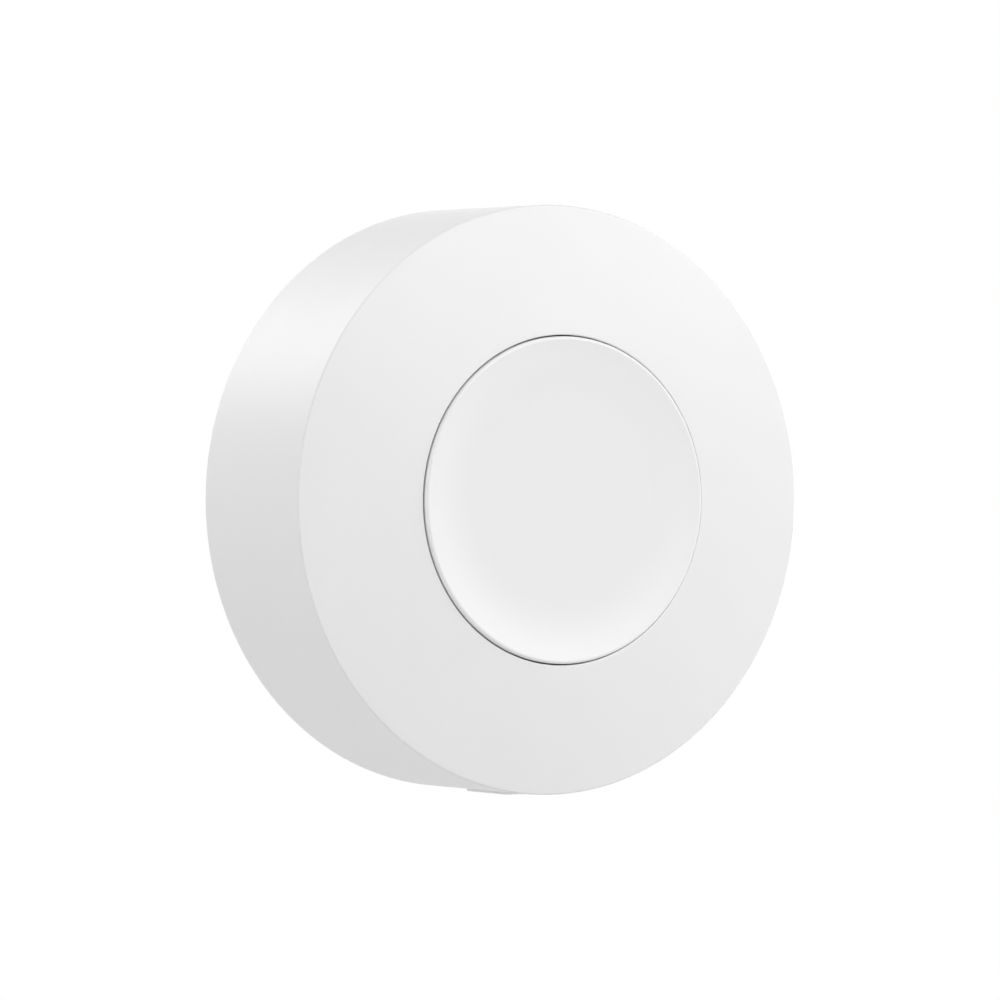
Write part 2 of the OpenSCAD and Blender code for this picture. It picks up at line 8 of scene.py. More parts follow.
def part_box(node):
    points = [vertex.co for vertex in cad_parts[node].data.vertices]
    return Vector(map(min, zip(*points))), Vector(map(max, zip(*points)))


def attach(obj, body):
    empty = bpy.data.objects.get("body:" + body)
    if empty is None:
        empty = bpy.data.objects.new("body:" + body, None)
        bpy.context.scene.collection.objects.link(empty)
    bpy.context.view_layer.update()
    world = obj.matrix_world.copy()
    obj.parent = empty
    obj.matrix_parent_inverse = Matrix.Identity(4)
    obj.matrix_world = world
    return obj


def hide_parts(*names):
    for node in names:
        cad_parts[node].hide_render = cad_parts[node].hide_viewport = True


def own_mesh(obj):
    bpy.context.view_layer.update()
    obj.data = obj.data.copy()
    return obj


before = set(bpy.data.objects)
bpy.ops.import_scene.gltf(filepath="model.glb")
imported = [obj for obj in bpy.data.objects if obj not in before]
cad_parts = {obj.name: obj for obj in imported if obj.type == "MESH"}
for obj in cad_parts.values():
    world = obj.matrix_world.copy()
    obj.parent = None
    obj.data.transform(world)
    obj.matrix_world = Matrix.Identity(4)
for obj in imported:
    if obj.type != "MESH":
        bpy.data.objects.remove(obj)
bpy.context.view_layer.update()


# The adhesive pad: a die-cut disc of closed-cell foam tape with a thin adhesive film on each face.
# It fills the recess in the back cover and holds the whole button on the wall by itself.
MM = 0.001
UPRIGHT = Matrix.Scale(MM, 4) @ Matrix.Rotation(math.radians(90), 4, "X")


def reach(node):
    """Half width of a CAD node, and its depths nearest to and farthest from the wall, in millimetres."""
    low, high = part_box(node)
    return high.x / MM, -high.y / MM, -low.y / MM


def arc(centre, radius, start, end, steps=10):
    """Points of an arc, with its angles in degrees."""
    angles = [math.radians(start + (end - start) * i / steps) for i in range(steps + 1)]
    return [(centre[0] + radius * math.cos(a), centre[1] + radius * math.sin(a)) for a in angles]


def lathe(bm, outline, turns=192, place=Matrix()):
    """Turns a closed outline of (radius, depth) points about its axis and adds the solid to a mesh."""
    rings = []
    for radius, depth in outline:
        around = turns if radius > 0 else 1
        angles = [math.tau * i / around for i in range(around)]
        points = [Vector((radius * math.cos(a), radius * math.sin(a), depth)) for a in angles]
        rings.append([bm.verts.new(place @ point) for point in points])
    for ring, after in zip(rings, rings[1:] + rings[:1]):
        for i in range(turns):
            j = (i + 1) % turns
            near = (ring[i % len(ring)], ring[j % len(ring)])
            far = (after[j % len(after)], after[i % len(after)])
            corners = list(dict.fromkeys(near + far))
            if len(corners) > 2:
                bm.faces.new(corners)


def stand(bm, name, finish, rounding=0.0):
    """Stands a drawn mesh upright in metres, front to -Y, and makes it a piece with that finish."""
    same_point = 0.0005
    sharp = math.radians(35)
    bmesh.ops.remove_doubles(bm, verts=bm.verts, dist=same_point)
    bmesh.ops.recalc_face_normals(bm, faces=bm.faces)
    if rounding:
        hard = [edge for edge in bm.edges if edge.calc_face_angle(0) > sharp]
        bmesh.ops.bevel(bm, geom=hard, offset=rounding, segments=2, profile=0.5, affect="EDGES")
    for face in bm.faces:
        face.smooth = True
    for edge in bm.edges:
        edge.smooth = edge.calc_face_angle(0) < sharp
    bm.transform(UPRIGHT)
    mesh = bpy.data.meshes.new(name)
    bm.to_mesh(mesh)
    bm.free()
    mesh.materials.append(finish)
    piece = bpy.data.objects.new(name, mesh)
    bpy.context.scene.collection.objects.link(piece)
    piece.modifiers.new("even_shading", "WEIGHTED_NORMAL").keep_sharp = True
    return piece


def add(tree, kind, inputs=None, **settings):
    """Adds a node to a tree. Each input is a value, or an output of another node to link to it."""
    made = tree.nodes.new(kind)
    for key, value in settings.items():
        setattr(made, key, value)
    for key, value in (inputs or {}).items():
        if isinstance(value, bpy.types.NodeSocket):
            tree.links.new(value, made.inputs[key])
        else:
            made.inputs[key].default_value = value
    return made


def new_finish(name):
    """A new material, with its node tree, its surface shader and the piece's own coordinates."""
    finish = bpy.data.materials.new(name)
    finish.use_nodes = True
    tree = finish.node_tree
    where = add(tree, "ShaderNodeTexCoord").outputs["Object"]
    return finish, tree, tree.nodes["Principled BSDF"], where


def mottle(tree, where, size, detail=2.0):
    """Soft blotches about that many millimetres across."""
    blotches = {"Vector": where, "Scale": 1 / (size * MM), "Detail": detail}
    return add(tree, "ShaderNodeTexNoise", blotches).outputs["Fac"]


def shade(tree, surface, factor, dark, light, low=0.35, high=0.65):
    """Colours the surface from dark to light as the factor rises."""
    ramp = add(tree, "ShaderNodeValToRGB", {"Fac": factor})
    ramp.color_ramp.elements[0].position = low
    ramp.color_ramp.elements[0].color = (*dark, 1)
    ramp.color_ramp.elements[1].position = high
    ramp.color_ramp.elements[1].color = (*light, 1)
    tree.links.new(ramp.outputs["Color"], surface.inputs["Base Color"])
    return ramp.outputs["Color"]


def polish(tree, surface, factor, smooth, rough):
    """Makes the surface rougher as the factor rises."""
    limits = {"Value": factor, "From Min": 0.3, "From Max": 0.7, "To Min": smooth, "To Max": rough}
    tree.links.new(add(tree, "ShaderNodeMapRange", limits).outputs["Result"], surface.inputs["Roughness"])


def dent(tree, surface, height, depth):
    """Presses a height into the surface, that many millimetres deep."""
    relief = add(tree, "ShaderNodeBump", {"Height": height, "Strength": 1.0, "Distance": depth * MM})
    tree.links.new(relief.outputs["Normal"], surface.inputs["Normal"])


foam, tree, surface, where = new_finish("closed_cell_foam")
foam_cell = 0.28
cells = {"Vector": where, "Scale": 1 / (foam_cell * MM)}
cells = add(tree, "ShaderNodeTexVoronoi", cells).outputs["Distance"]
shade(tree, surface, cells, (0.50, 0.51, 0.52), (0.64, 0.65, 0.66), low=0.2, high=0.8)
polish(tree, surface, mottle(tree, where, size=2.0), smooth=0.72, rough=0.88)
dent(tree, surface, cells, depth=0.03)

pad_r, wall_z, pad_z = reach("adhesive_pad")
film_t = 0.06
foam_tuck = 0.12
foam_h = pad_z - wall_z - 2 * film_t
foam_steps = 8
foam_side = []
for i in range(foam_steps + 1):
    up = i / foam_steps
    foam_side.append((pad_r - foam_tuck * math.sin(math.pi * up), wall_z + film_t + foam_h * up))
bm = bmesh.new()
lathe(bm, [(0, wall_z), (pad_r, wall_z), *foam_side, (pad_r, pad_z), (0, pad_z)])
pad = stand(bm, "foam_pad", foam)
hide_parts("adhesive_pad")
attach(pad, "base")


# The back cover: a moulded disc that stays on the wall, with the pad's recess and two finger grips behind.
# A ring on its front carries three bayonet lugs, which the housing twists onto.
LOCK_ANGLES = (90, 210, 330)


def turned(angle):
    """The turn by that many degrees about the button's axis."""
    return Matrix.Rotation(math.radians(angle), 4, "Z")


def circle(radius, centre=(0, 0), steps=128):
    """Points of a full circle."""
    return arc(centre, radius, 0, 360 * (steps - 1) / steps, steps - 1)


def sector(inside, outside, half_arc):
    """Outline of a piece of a ring that lies evenly about the angle 0."""
    return arc((0, 0), outside, -half_arc, half_arc, 24) + arc((0, 0), inside, half_arc, -half_arc, 24)


def plate(bm, outlines, low, high, rounding=0.0, place=Matrix()):
    """Adds a flat plate between two depths, with rounded edges. An outline inside another is a hole."""
    sheet = bpy.data.curves.new("plate", "CURVE")
    sheet.dimensions = "2D"
    sheet.fill_mode = "BOTH"
    sheet.extrude = (high - low) / 2 - rounding
    sheet.bevel_depth = rounding
    sheet.bevel_resolution = 2
    sheet.offset = -rounding
    for outline in outlines:
        edge = sheet.splines.new("POLY")
        edge.points.add(len(outline) - 1)
        edge.points.foreach_set("co", [value for x, y in outline for value in (x, y, 0, 1)])
        edge.use_cyclic_u = True
    blank = bpy.data.objects.new("plate", sheet)
    mesh = bpy.data.meshes.new_from_object(blank)
    mesh.transform(place @ Matrix.Translation((0, 0, (low + high) / 2)))
    bm.from_mesh(mesh)
    bpy.data.objects.remove(blank)
    bpy.data.curves.remove(sheet)
    bpy.data.meshes.remove(mesh)


def moulded(name, dark, light, roughness, texture=0.22, depth=0.0012):
    """A moulded plastic: an even colour, and the fine spark texture of the mould in gloss and relief."""
    finish, tree, surface, where = new_finish(name)
    spark = mottle(tree, where, texture, detail=3.0)
    shade(tree, surface, mottle(tree, where, size=9.0), dark, light)
    polish(tree, surface, spark, roughness - 0.04, roughness + 0.04)
    dent(tree, surface, spark, depth)
    return finish


cover_white = moulded("cover_plastic", (0.770, 0.770, 0.765), (0.785, 0.785, 0.780), roughness=0.5)

cover_r, rear_z, ring_z = reach("back_cover")
cover_t = 1.8
cover_z = rear_z + cover_t
pad_gap = 0.15
recess_r = pad_r + pad_gap
rear_round = 0.2
grip_depth = 1.0
grip_w = 2.6
grip_r = 20.1
grip_half_arc = 20.0
ring_out = 21.5
ring_in = 20.3
lug_z = 3.9
lug_half_arc = 8.0
lug_round = 0.2
lap = 0.1
root = 4 * lap
hair = lap / 4
grip_end = grip_half_arc - math.degrees(grip_w / 2 / grip_r)
grip_out = grip_r + grip_w / 2
grip_in = grip_r - grip_w / 2
grip_tips = [arc((0, 0), grip_r, turn, turn, 1)[0] for turn in (grip_end, -grip_end)]
grip = arc((0, 0), grip_out, -grip_end, grip_end, 24)
grip += arc(grip_tips[0], grip_w / 2, grip_end, grip_end + 180, 10)
grip += arc((0, 0), grip_in, grip_end, -grip_end, 24)
grip += arc(grip_tips[1], grip_w / 2, 180 - grip_end, 360 - grip_end, 10)
far_grip = [(-x, -y) for x, y in grip]
grip_z = rear_z + grip_depth
bm = bmesh.new()
plate(bm, [circle(cover_r), circle(recess_r), grip, far_grip], rear_z, grip_z + root, rear_round)
lathe(bm, [(0, pad_z), (recess_r + lap, pad_z), (recess_r + lap, grip_z), (grip_out + 2 * lap, grip_z),
           (grip_out + 2 * lap, grip_z - root), (cover_r - hair, grip_z - root),
           (cover_r - hair, cover_z - lap), (cover_r - lap, cover_z), (0, cover_z)])
ring_lip = arc((ring_out - lap, ring_z - lap), lap, 0, 90, 4)
ring_lip += arc((ring_in + lap, ring_z - lap), lap, 90, 180, 4)
lathe(bm, [(ring_out, cover_z - lap), *ring_lip, (ring_in, cover_z - lap)])
lug = sector(ring_out - root, cover_r, lug_half_arc)
for angle in LOCK_ANGLES:
    plate(bm, [lug], lug_z, ring_z - hair, lug_round, turned(angle))
cover = stand(bm, "back_cover_moulding", cover_white)
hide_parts("back_cover")
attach(cover, "base")


# The coin cell's can: a cup drawn from nickel-plated steel, crimped over the sealing ring at its mouth.
# It sits mouth forward in the battery holder, where the two side springs touch it.
def rolled(name, dark, light, roughness, depth=0.0006):
    """A rolled sheet metal: fine streaks along the sheet in its colour, gloss and relief."""
    finish, tree, surface, where = new_finish(name)
    streaks = add(tree, "ShaderNodeMapping", {"Vector": where, "Scale": (0.06, 1.0, 1.0)}).outputs["Vector"]
    lines = mottle(tree, streaks, size=0.09)
    shade(tree, surface, lines, dark, light)
    polish(tree, surface, lines, roughness - 0.05, roughness + 0.07)
    dent(tree, surface, lines, depth)
    surface.inputs["Metallic"].default_value = 1.0
    return finish


cell_steel = rolled("cell_steel", (0.56, 0.55, 0.53), (0.66, 0.65, 0.63), roughness=0.27)

can_r, can_z, mouth_z = reach("cell_can")
can_round = 0.5
can_sheet = 0.3
can_in = can_r - can_sheet
crimp = 0.18
bm = bmesh.new()
can_side = arc((can_r - can_round, can_z + can_round), can_round, -90, 0)
can_side += arc((can_r - crimp, mouth_z - crimp), crimp, 0, 90, 6)
lathe(bm, [(0, can_z), *can_side, (can_in, mouth_z), (can_in, can_z + can_round), (0, can_z + can_round)])
can = stand(bm, "cell_can_drawn", cell_steel)
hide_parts("cell_can")
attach(can, "housing")


# The cell's sealing ring: a moulded ring squeezed between the can and the cap, which keeps them apart.
# Its lip swells a little where the crimp of the can presses on it.
seal_black = moulded("seal_plastic", (0.035, 0.035, 0.037), (0.055, 0.055, 0.058), roughness=0.55)

seal_r, seal_z, lip_z = reach("cell_gasket")
seal_t = 0.6
seal_lip = 0.2
bm = bmesh.new()
lip = arc((seal_r - seal_lip, lip_z - seal_lip), seal_lip, 0, 90, 5)
lip += arc((seal_r - seal_t + seal_lip, lip_z - seal_lip), seal_lip, 90, 180, 5)
lathe(bm, [(seal_r, seal_z), *lip, (seal_r - seal_t, seal_z)])
seal = stand(bm, "cell_seal_ring", seal_black)
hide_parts("cell_gasket")
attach(seal, "housing")


# The cell's cap: the negative cup, drawn from the same steel with a stepped shoulder.
# It is pressed into the sealing ring, and the leaf spring touches the middle of it.
cap_r, cap_z, cap_top = reach("cell_cap")
shoulder = 0.45
step = 0.12
step_r = 9.4
cap_in = cap_r - can_sheet
cap_roof = cap_top - can_sheet
bm = bmesh.new()
cap_side = arc((cap_r - shoulder, cap_top - step - shoulder), shoulder, 0, 90)
cap_side += arc((step_r + step, cap_top - step / 2), step / 2, 270, 180, 4)
cap_side += arc((step_r - step / 2, cap_top - step / 2), step / 2, 0, 90, 4)
cap_inside = [(0, cap_roof), (cap_in - shoulder, cap_roof), (cap_in, cap_roof - shoulder)]
lathe(bm, [(cap_in, cap_z), (cap_r, cap_z), *cap_side, (0, cap_top), *cap_inside])
cap = stand(bm, "cell_cap_drawn", cell_steel)
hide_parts("cell_cap")
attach(cap, "housing")


# The cell's filling: pressed discs of dark powder with a thin separator between them.
# The cap and the can hold them together under pressure.
powder, tree, surface, where = new_finish("pressed_powder")
crumbs = mottle(tree, where, size=0.12, detail=4.0)
shade(tree, surface, crumbs, (0.03, 0.03, 0.032), (0.11, 0.11, 0.115))
polish(tree, surface, crumbs, smooth=0.75, rough=0.95)
dent(tree, surface, crumbs, depth=0.02)

disc_r, disc_z, disc_top = reach("cell_filling")
split_half = 0.1
split_depth = 0.25
split_in = disc_r - split_depth
bevel = 0.15
chamfer = 4 * bevel
split_low = (disc_z + disc_top) / 2 - split_half
split_high = (disc_z + disc_top) / 2 + split_half
bm = bmesh.new()
lower_disc = [(0, disc_z), (disc_r - bevel, disc_z), (disc_r, disc_z + bevel), (disc_r, split_low - bevel)]
separator = [(split_in, split_low), (split_in, split_high)]
upper_disc = [(disc_r, split_high + bevel), (disc_r, disc_top - chamfer), (disc_r - chamfer, disc_top)]
lathe(bm, lower_disc + separator + upper_disc + [(0, disc_top)])
filling = stand(bm, "cell_discs", powder)
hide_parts("cell_filling")
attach(filling, "housing")


# The battery holder: a black moulded ring with a floor against the board, heat-staked to it.
# Windows at both sides let the side springs through, and two cuts leave room for a finger.
holder_black = moulded("holder_plastic", (0.018, 0.018, 0.019), (0.028, 0.028, 0.030), roughness=0.42)

holder_r, holder_z, board_z = reach("battery_holder")
holder_t = 1.2
holder_in = holder_r - holder_t
holder_round = 0.15
finger_half = 5.0
finger_depth = 2.4
finger_z = holder_z + finger_depth
window_half = 2.5
window_bite = 0.4
window_in = can_r - window_bite
sliver = 0.1
floor_t = 0.5
floor_hole = 6.5
floor_out = holder_in + holder_t / 2
floor_round = 0.1


def window_edge(radius):
    """Angle at which a circle of that radius meets the side of a window."""
    return math.degrees(math.asin(window_half / radius))


def finger_edge(radius):
    """Angle at which a circle of that radius meets the side of a finger cut."""
    return math.degrees(math.acos(finger_half / radius))


half_wall = arc((0, 0), holder_r, window_edge(holder_r), 180 - window_edge(holder_r), 64)
half_wall += arc((0, 0), holder_in, 180 - window_edge(holder_in), window_edge(holder_in), 64)
near_corner = arc((0, 0), holder_r - hair, window_edge(holder_r) + sliver, finger_edge(holder_r), 24)
near_corner += arc((0, 0), holder_in + hair, finger_edge(holder_in), window_edge(holder_in) + sliver, 24)
far_corner = [(-x, y) for x, y in near_corner]
floor_half = window_half + hair
floor_end = math.degrees(math.asin(floor_half / floor_out))
half_floor = arc((0, 0), floor_out, floor_end, 180 - floor_end, 64)
half_floor += [(-window_in, floor_half), (-window_in, -floor_half)]
floor_edge = half_floor + [(-x, -y) for x, y in half_floor]
bm = bmesh.new()
for angle in (0, 180):
    plate(bm, [half_wall], finger_z, board_z, holder_round, turned(angle))
    for corner_wall in (near_corner, far_corner):
        plate(bm, [corner_wall], holder_z, finger_z + root, holder_round, turned(angle))
plate(bm, [floor_edge, circle(floor_hole)], board_z - floor_t, board_z - hair, floor_round)
holder = stand(bm, "holder_moulding", holder_black)
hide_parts("battery_holder")
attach(holder, "housing")


# The cell's springs: strips of nickel-plated bronze, cut and bent, with their feet soldered to the board.
# Two side springs bow in to the can through the holder's windows, and a leaf bows to the cap.
EDGEWISE = Matrix.Rotation(math.radians(90), 4, "X")


def strip(path, thickness):
    """Outline of a strip that follows a path, with its corners mitred."""
    mitre_limit = 0.3
    sides = []
    for i, point in enumerate(path):
        here = Vector(point)
        before = (here - Vector(path[i - 1])).normalized() if i else None
        after = (Vector(path[i + 1]) - here).normalized() if i + 1 < len(path) else before
        before = before or after
        along = (before + after).normalized()
        across = Vector((-along.y, along.x)) * thickness / 2 / max(mitre_limit, before.dot(along))
        sides.append((here + across, here - across))
    return [tuple(left) for left, right in sides] + [tuple(right) for left, right in reversed(sides)]


spring_nickel = rolled("spring_metal", (0.66, 0.61, 0.48), (0.76, 0.70, 0.56), roughness=0.28)

spring_t = 0.2
spring_w = 4.0
spring_h = 3.6
spring_foot = 2.0
spring_bend = 0.35
spring_round = 0.04
touch_gap = 0.02
touch_x = can_r + touch_gap + spring_t / 2
bow = 0.2
bow_steps = 16
tip_z = board_z - spring_h
foot_z = board_z - spring_t / 2
bow_h = foot_z - spring_bend - tip_z
bow_path = []
for i in range(bow_steps + 1):
    up = i / bow_steps
    bow_path.append((touch_x + bow * math.cos(math.pi * up) ** 2, tip_z + bow_h * up))
bend_path = arc((touch_x + bow + spring_bend, foot_z - spring_bend), spring_bend, 180, 90, 6)[1:]
side_path = bow_path + bend_path + [(touch_x + bow + spring_foot - spring_t / 2, foot_z)]
bm = bmesh.new()
side_spring = strip(side_path, spring_t)
for angle in (0, 180):
    plate(bm, [side_spring], -spring_w / 2, spring_w / 2, spring_round, turned(angle) @ EDGEWISE)
side_springs = stand(bm, "side_springs", spring_nickel)
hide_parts("positive_contacts")
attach(side_springs, "housing")

leaf_l = 9.0
leaf_w = 3.0
leaf_foot = 2.0
leaf_steps = 24
crest_z = cap_top + touch_gap + spring_t / 2
leaf_rise = foot_z - crest_z
leaf_run = leaf_l - leaf_foot
leaf_path = [(-leaf_l / 2, foot_z)]
for i in range(leaf_steps + 1):
    along = i / leaf_steps
    lift = (1 - math.cos(math.tau * along)) / 2
    depth = foot_z - leaf_rise * lift - spring_t * along * (1 - lift)
    leaf_path.append((leaf_foot - leaf_l / 2 + leaf_run * along, depth))
bm = bmesh.new()
plate(bm, [strip(leaf_path, spring_t)], -leaf_w / 2, leaf_w / 2, spring_round, EDGEWISE)
leaf_spring = stand(bm, "leaf_spring", spring_nickel)
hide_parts("negative_contact")
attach(leaf_spring, "housing")


# The circuit board: a round of glass-fibre laminate under green solder mask, etched with copper.
# Three screws hold it against the bosses of the housing, and it carries every part of the circuit.
board_r, board_z, board_top = reach("circuit_board")
weave_pitch = 0.5


def masked(name, dark, light):
    """Green solder mask, with the weave of the glass cloth just showing through it."""
    finish, tree, surface, where = new_finish(name)
    one_wave = math.tau / 20
    bands = {"Vector": where, "Scale": one_wave / (weave_pitch * MM)}
    warp = add(tree, "ShaderNodeTexWave", bands, bands_direction="X").outputs["Fac"]
    weft = add(tree, "ShaderNodeTexWave", bands, bands_direction="Z").outputs["Fac"]
    cloth = add(tree, "ShaderNodeMath", {0: warp, 1: weft}, operation="MULTIPLY").outputs[0]
    green = shade(tree, surface, cloth, dark, light, low=0.0, high=1.0)
    polish(tree, surface, mottle(tree, where, size=0.6), smooth=0.30, rough=0.42)
    dent(tree, surface, cloth, depth=0.004)
    return finish, tree, surface, where, green


def from_axis(tree, where):
    """Distance from the button's axis."""
    flat = {0: where, 1: (1.0, 0.0, 1.0)}
    flat = add(tree, "ShaderNodeVectorMath", flat, operation="MULTIPLY").outputs["Vector"]
    return add(tree, "ShaderNodeVectorMath", {0: flat}, operation="LENGTH").outputs["Value"]


mask_dark = (0.015, 0.130, 0.058)
mask_light = (0.018, 0.148, 0.067)
bare_laminate = (0.36, 0.30, 0.15, 1.0)
laminate, tree, surface, where, mask_green = masked("solder_mask", mask_dark, mask_light)
mask_end = board_r - 0.03
cut_start = board_r - 0.02
rim = {"Value": from_axis(tree, where), "From Min": mask_end * MM, "From Max": cut_start * MM}
rim = add(tree, "ShaderNodeMapRange", rim).outputs["Result"]
cut_edge = add(tree, "ShaderNodeMix", {0: rim, 6: mask_green, 7: bare_laminate}, data_type="RGBA")
tree.links.new(cut_edge.outputs[2], surface.inputs["Base Color"])

SCREW_ANGLES = (30, 150, 270)
screw_inset = 2.8
screw_ring = board_r - screw_inset
screw_hole = 1.1
board_round = 0.04
holes = [circle(screw_hole, arc((0, 0), screw_ring, angle, angle, 1)[0], 48) for angle in SCREW_ANGLES]
bm = bmesh.new()
plate(bm, [circle(board_r), *holes], board_z, board_top, board_round)
board = stand(bm, "board_laminate", laminate)
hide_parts("circuit_board")
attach(board, "housing")


# The stitching vias: plated holes round the rim of the board that tie its two copper faces together.
# Each is a small gold ring on both faces, and they stand at one radius, clear of the screw bosses.
def new_tree(name, start, sizes):
    """A new Geometry Nodes tree that takes a starting mesh and named sizes, and the outputs with them."""
    tree = bpy.data.node_groups.new(name, "GeometryNodeTree")
    tree.interface.new_socket(start, in_out="INPUT", socket_type="NodeSocketGeometry")
    tree.interface.new_socket("Geometry", in_out="OUTPUT", socket_type="NodeSocketGeometry")
    for size in sizes:
        kind = "NodeSocketInt" if size == "Count" else "NodeSocketFloat"
        tree.interface.new_socket(size, in_out="INPUT", socket_type=kind)
    return tree, add(tree, "NodeGroupInput").outputs


def end_tree(tree, finish, copies):
    """Ends a tree: it copies a part to its points, makes the copies real and gives them their finish."""
    copies = add(tree, "GeometryNodeInstanceOnPoints", copies).outputs[0]
    real = add(tree, "GeometryNodeRealizeInstances", {"Geometry": copies}).outputs[0]
    painted = add(tree, "GeometryNodeSetMaterial", {"Geometry": real, "Material": finish}).outputs[0]
    add(tree, "NodeGroupOutput", {"Geometry": painted})


def ring_of(bm, finish, count, ring_radius, first_angle=0.0, middle=(0.0, 0.0)):
    """Copies a drawn mesh to equal angles about an axis, and returns the mesh of the copies."""
    sizes = {"Count": count, "Ring Radius": ring_radius, "First Angle": math.radians(first_angle),
             "Middle X": middle[0], "Middle Y": middle[1]}
    tree, given = new_tree("ring_of_copies", "Part", sizes)
    index = add(tree, "GeometryNodeInputIndex").outputs["Index"]
    step = add(tree, "ShaderNodeMath", {0: math.tau, 1: given["Count"]}, operation="DIVIDE").outputs[0]
    turn = {0: index, 1: step, 2: given["First Angle"]}
    turn = add(tree, "ShaderNodeMath", turn, operation="MULTIPLY_ADD").outputs[0]
    turns = add(tree, "ShaderNodeCombineXYZ", {"Z": turn}).outputs[0]
    out = add(tree, "ShaderNodeCombineXYZ", {"X": given["Ring Radius"]}).outputs[0]
    moved = add(tree, "GeometryNodeTransform", {"Geometry": given["Part"], "Translation": out}).outputs[0]
    centre = add(tree, "ShaderNodeCombineXYZ", {"X": given["Middle X"], "Y": given["Middle Y"]}).outputs[0]
    points = add(tree, "GeometryNodePoints", {"Count": given["Count"], "Position": centre}).outputs[0]
    end_tree(tree, finish, {"Points": points, "Instance": moved, "Rotation": turns})
    return grow(bm, tree, sizes)


def grow(bm, tree, sizes):
    """Runs a Geometry Nodes tree on a drawn mesh with those sizes, and returns the plain mesh it makes."""
    start = bpy.data.meshes.new("start")
    bm.to_mesh(start)
    bm.free()
    seed = bpy.data.objects.new("start", start)
    bpy.context.scene.collection.objects.link(seed)
    modifier = seed.modifiers.new("grow", "NODES")
    modifier.node_group = tree
    for socket in tree.interface.items_tree:
        if socket.name in sizes:
            modifier[socket.identifier] = sizes[socket.name]
    evaluated = seed.evaluated_get(bpy.context.evaluated_depsgraph_get())
    grown = bpy.data.meshes.new_from_object(evaluated)
    grown.materials.clear()
    result = bmesh.new()
    result.from_mesh(grown)
    seed.modifiers.remove(modifier)
    bpy.data.objects.remove(seed)
    return result


trace_gold = rolled("plated_gold", (0.74, 0.56, 0.25), (0.84, 0.66, 0.33), roughness=0.33)

via_count = 72
via_inset = 0.35
via_ring = board_r - via_inset
via_r = 0.2
via_hole = 0.1
via_t = 0.03
bm = bmesh.new()
for low, high in ((board_z - via_t, board_z + via_t), (board_top - via_t, board_top + via_t)):
    lathe(bm, [(via_hole, low), (via_r, low), (via_r, high), (via_hole, high)], 12)
vias = stand(ring_of(bm, trace_gold, via_count, via_ring), "stitching_vias", trace_gold)
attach(vias, "housing")


# The antenna: one gold-plated meander of copper, etched on the front face near the top of the board.
# Its runs are joined end to end by short links, and no other copper comes near it.
trace_w = 0.8
trace_t = 0.1
trace_pitch = 1.7
trace_run = 4.4
trace_count = 8
trace_round = 0.03
antenna_inset = 4.7
antenna_y = board_r - antenna_inset
trace_end = (trace_run - trace_w) / 2
trace_path = []
for i in range(trace_count):
    x = (i - (trace_count - 1) / 2) * trace_pitch
    ends = [(x, antenna_y - trace_end), (x, antenna_y + trace_end)]
    trace_path += ends if i % 2 == 0 else ends[::-1]
trace_path[0] = (trace_path[0][0], antenna_y - trace_run / 2)
trace_path[-1] = (trace_path[-1][0], antenna_y - trace_run / 2)
bm = bmesh.new()
plate(bm, [strip(trace_path, trace_w)], board_top, board_top + trace_t, trace_round)
antenna_piece = stand(bm, "antenna_meander", trace_gold)
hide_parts("antenna")
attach(antenna_piece, "housing")


# The radio chip: a flat package of black moulded resin, soldered down on lands along its four sides.
# The mould leaves a parting line round it and a round dimple beside its first pin.
def footprint(node):
    """Middle and half sizes of a CAD node on the board, and the depth of its top, in millimetres."""
    low, high = (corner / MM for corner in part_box(node))
    middle = ((low.x + high.x) / 2, (low.z + high.z) / 2)
    return middle, ((high.x - low.x) / 2, (high.z - low.z) / 2), -low.y


def block_outline(middle, half_x, half_y, corner=0.0):
    """Outline of a rectangle with rounded corners."""
    corners = ((1, 1), (-1, 1), (-1, -1), (1, -1))
    if not corner:
        return [(middle[0] + x * half_x, middle[1] + y * half_y) for x, y in corners]
    outline = []
    for i, (x, y) in enumerate(corners):
        centre = (middle[0] + x * (half_x - corner), middle[1] + y * (half_y - corner))
        outline += arc(centre, corner, 90 * i, 90 * i + 90, 5)
    return outline


resin_dark = (0.020, 0.020, 0.021)
resin_light = (0.032, 0.032, 0.034)
chip_resin = moulded("chip_resin", resin_dark, resin_light, roughness=0.55, texture=0.08, depth=0.004)

chip_at, (chip_half, _), chip_top = footprint("radio_chip")
parting_step = 0.03
chip_low_half = chip_half - parting_step
chip_corner = 0.1
chip_round = 0.04
parting_z = (board_top + chip_top) / 2
dot_r = 0.3
dot_inset = 0.9
dot_at = (chip_at[0] - chip_half + dot_inset, chip_at[1] + chip_half - dot_inset)
dot_depth = 0.1
bm = bmesh.new()
lower = block_outline(chip_at, chip_low_half, chip_low_half, chip_corner)
upper = block_outline(chip_at, chip_half, chip_half, chip_corner)
plate(bm, [lower], board_top, chip_top - dot_depth, chip_round)
plate(bm, [upper, circle(dot_r, dot_at, 32)], parting_z, chip_top, chip_round)
chip = stand(bm, "chip_package", chip_resin)
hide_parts("radio_chip")
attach(chip, "housing")

solder = rolled("tinned_metal", (0.60, 0.60, 0.60), (0.72, 0.72, 0.71), roughness=0.32)

land_count = 8
land_pitch = 0.5
land_half = 0.13
land_reach = 0.35
land_t = 0.05
land_corner = 0.06
land_round = 0.02
bm = bmesh.new()
for i in range(land_count):
    middle = (chip_half, (i - (land_count - 1) / 2) * land_pitch)
    land_edge = block_outline(middle, land_reach, land_half, land_corner)
    plate(bm, [land_edge], board_top - land_t, board_top + land_t, land_round)
lands = ring_of(bm, solder, count=4, ring_radius=0.0, middle=chip_at)
lands = stand(lands, "chip_lands", solder)
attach(lands, "housing")


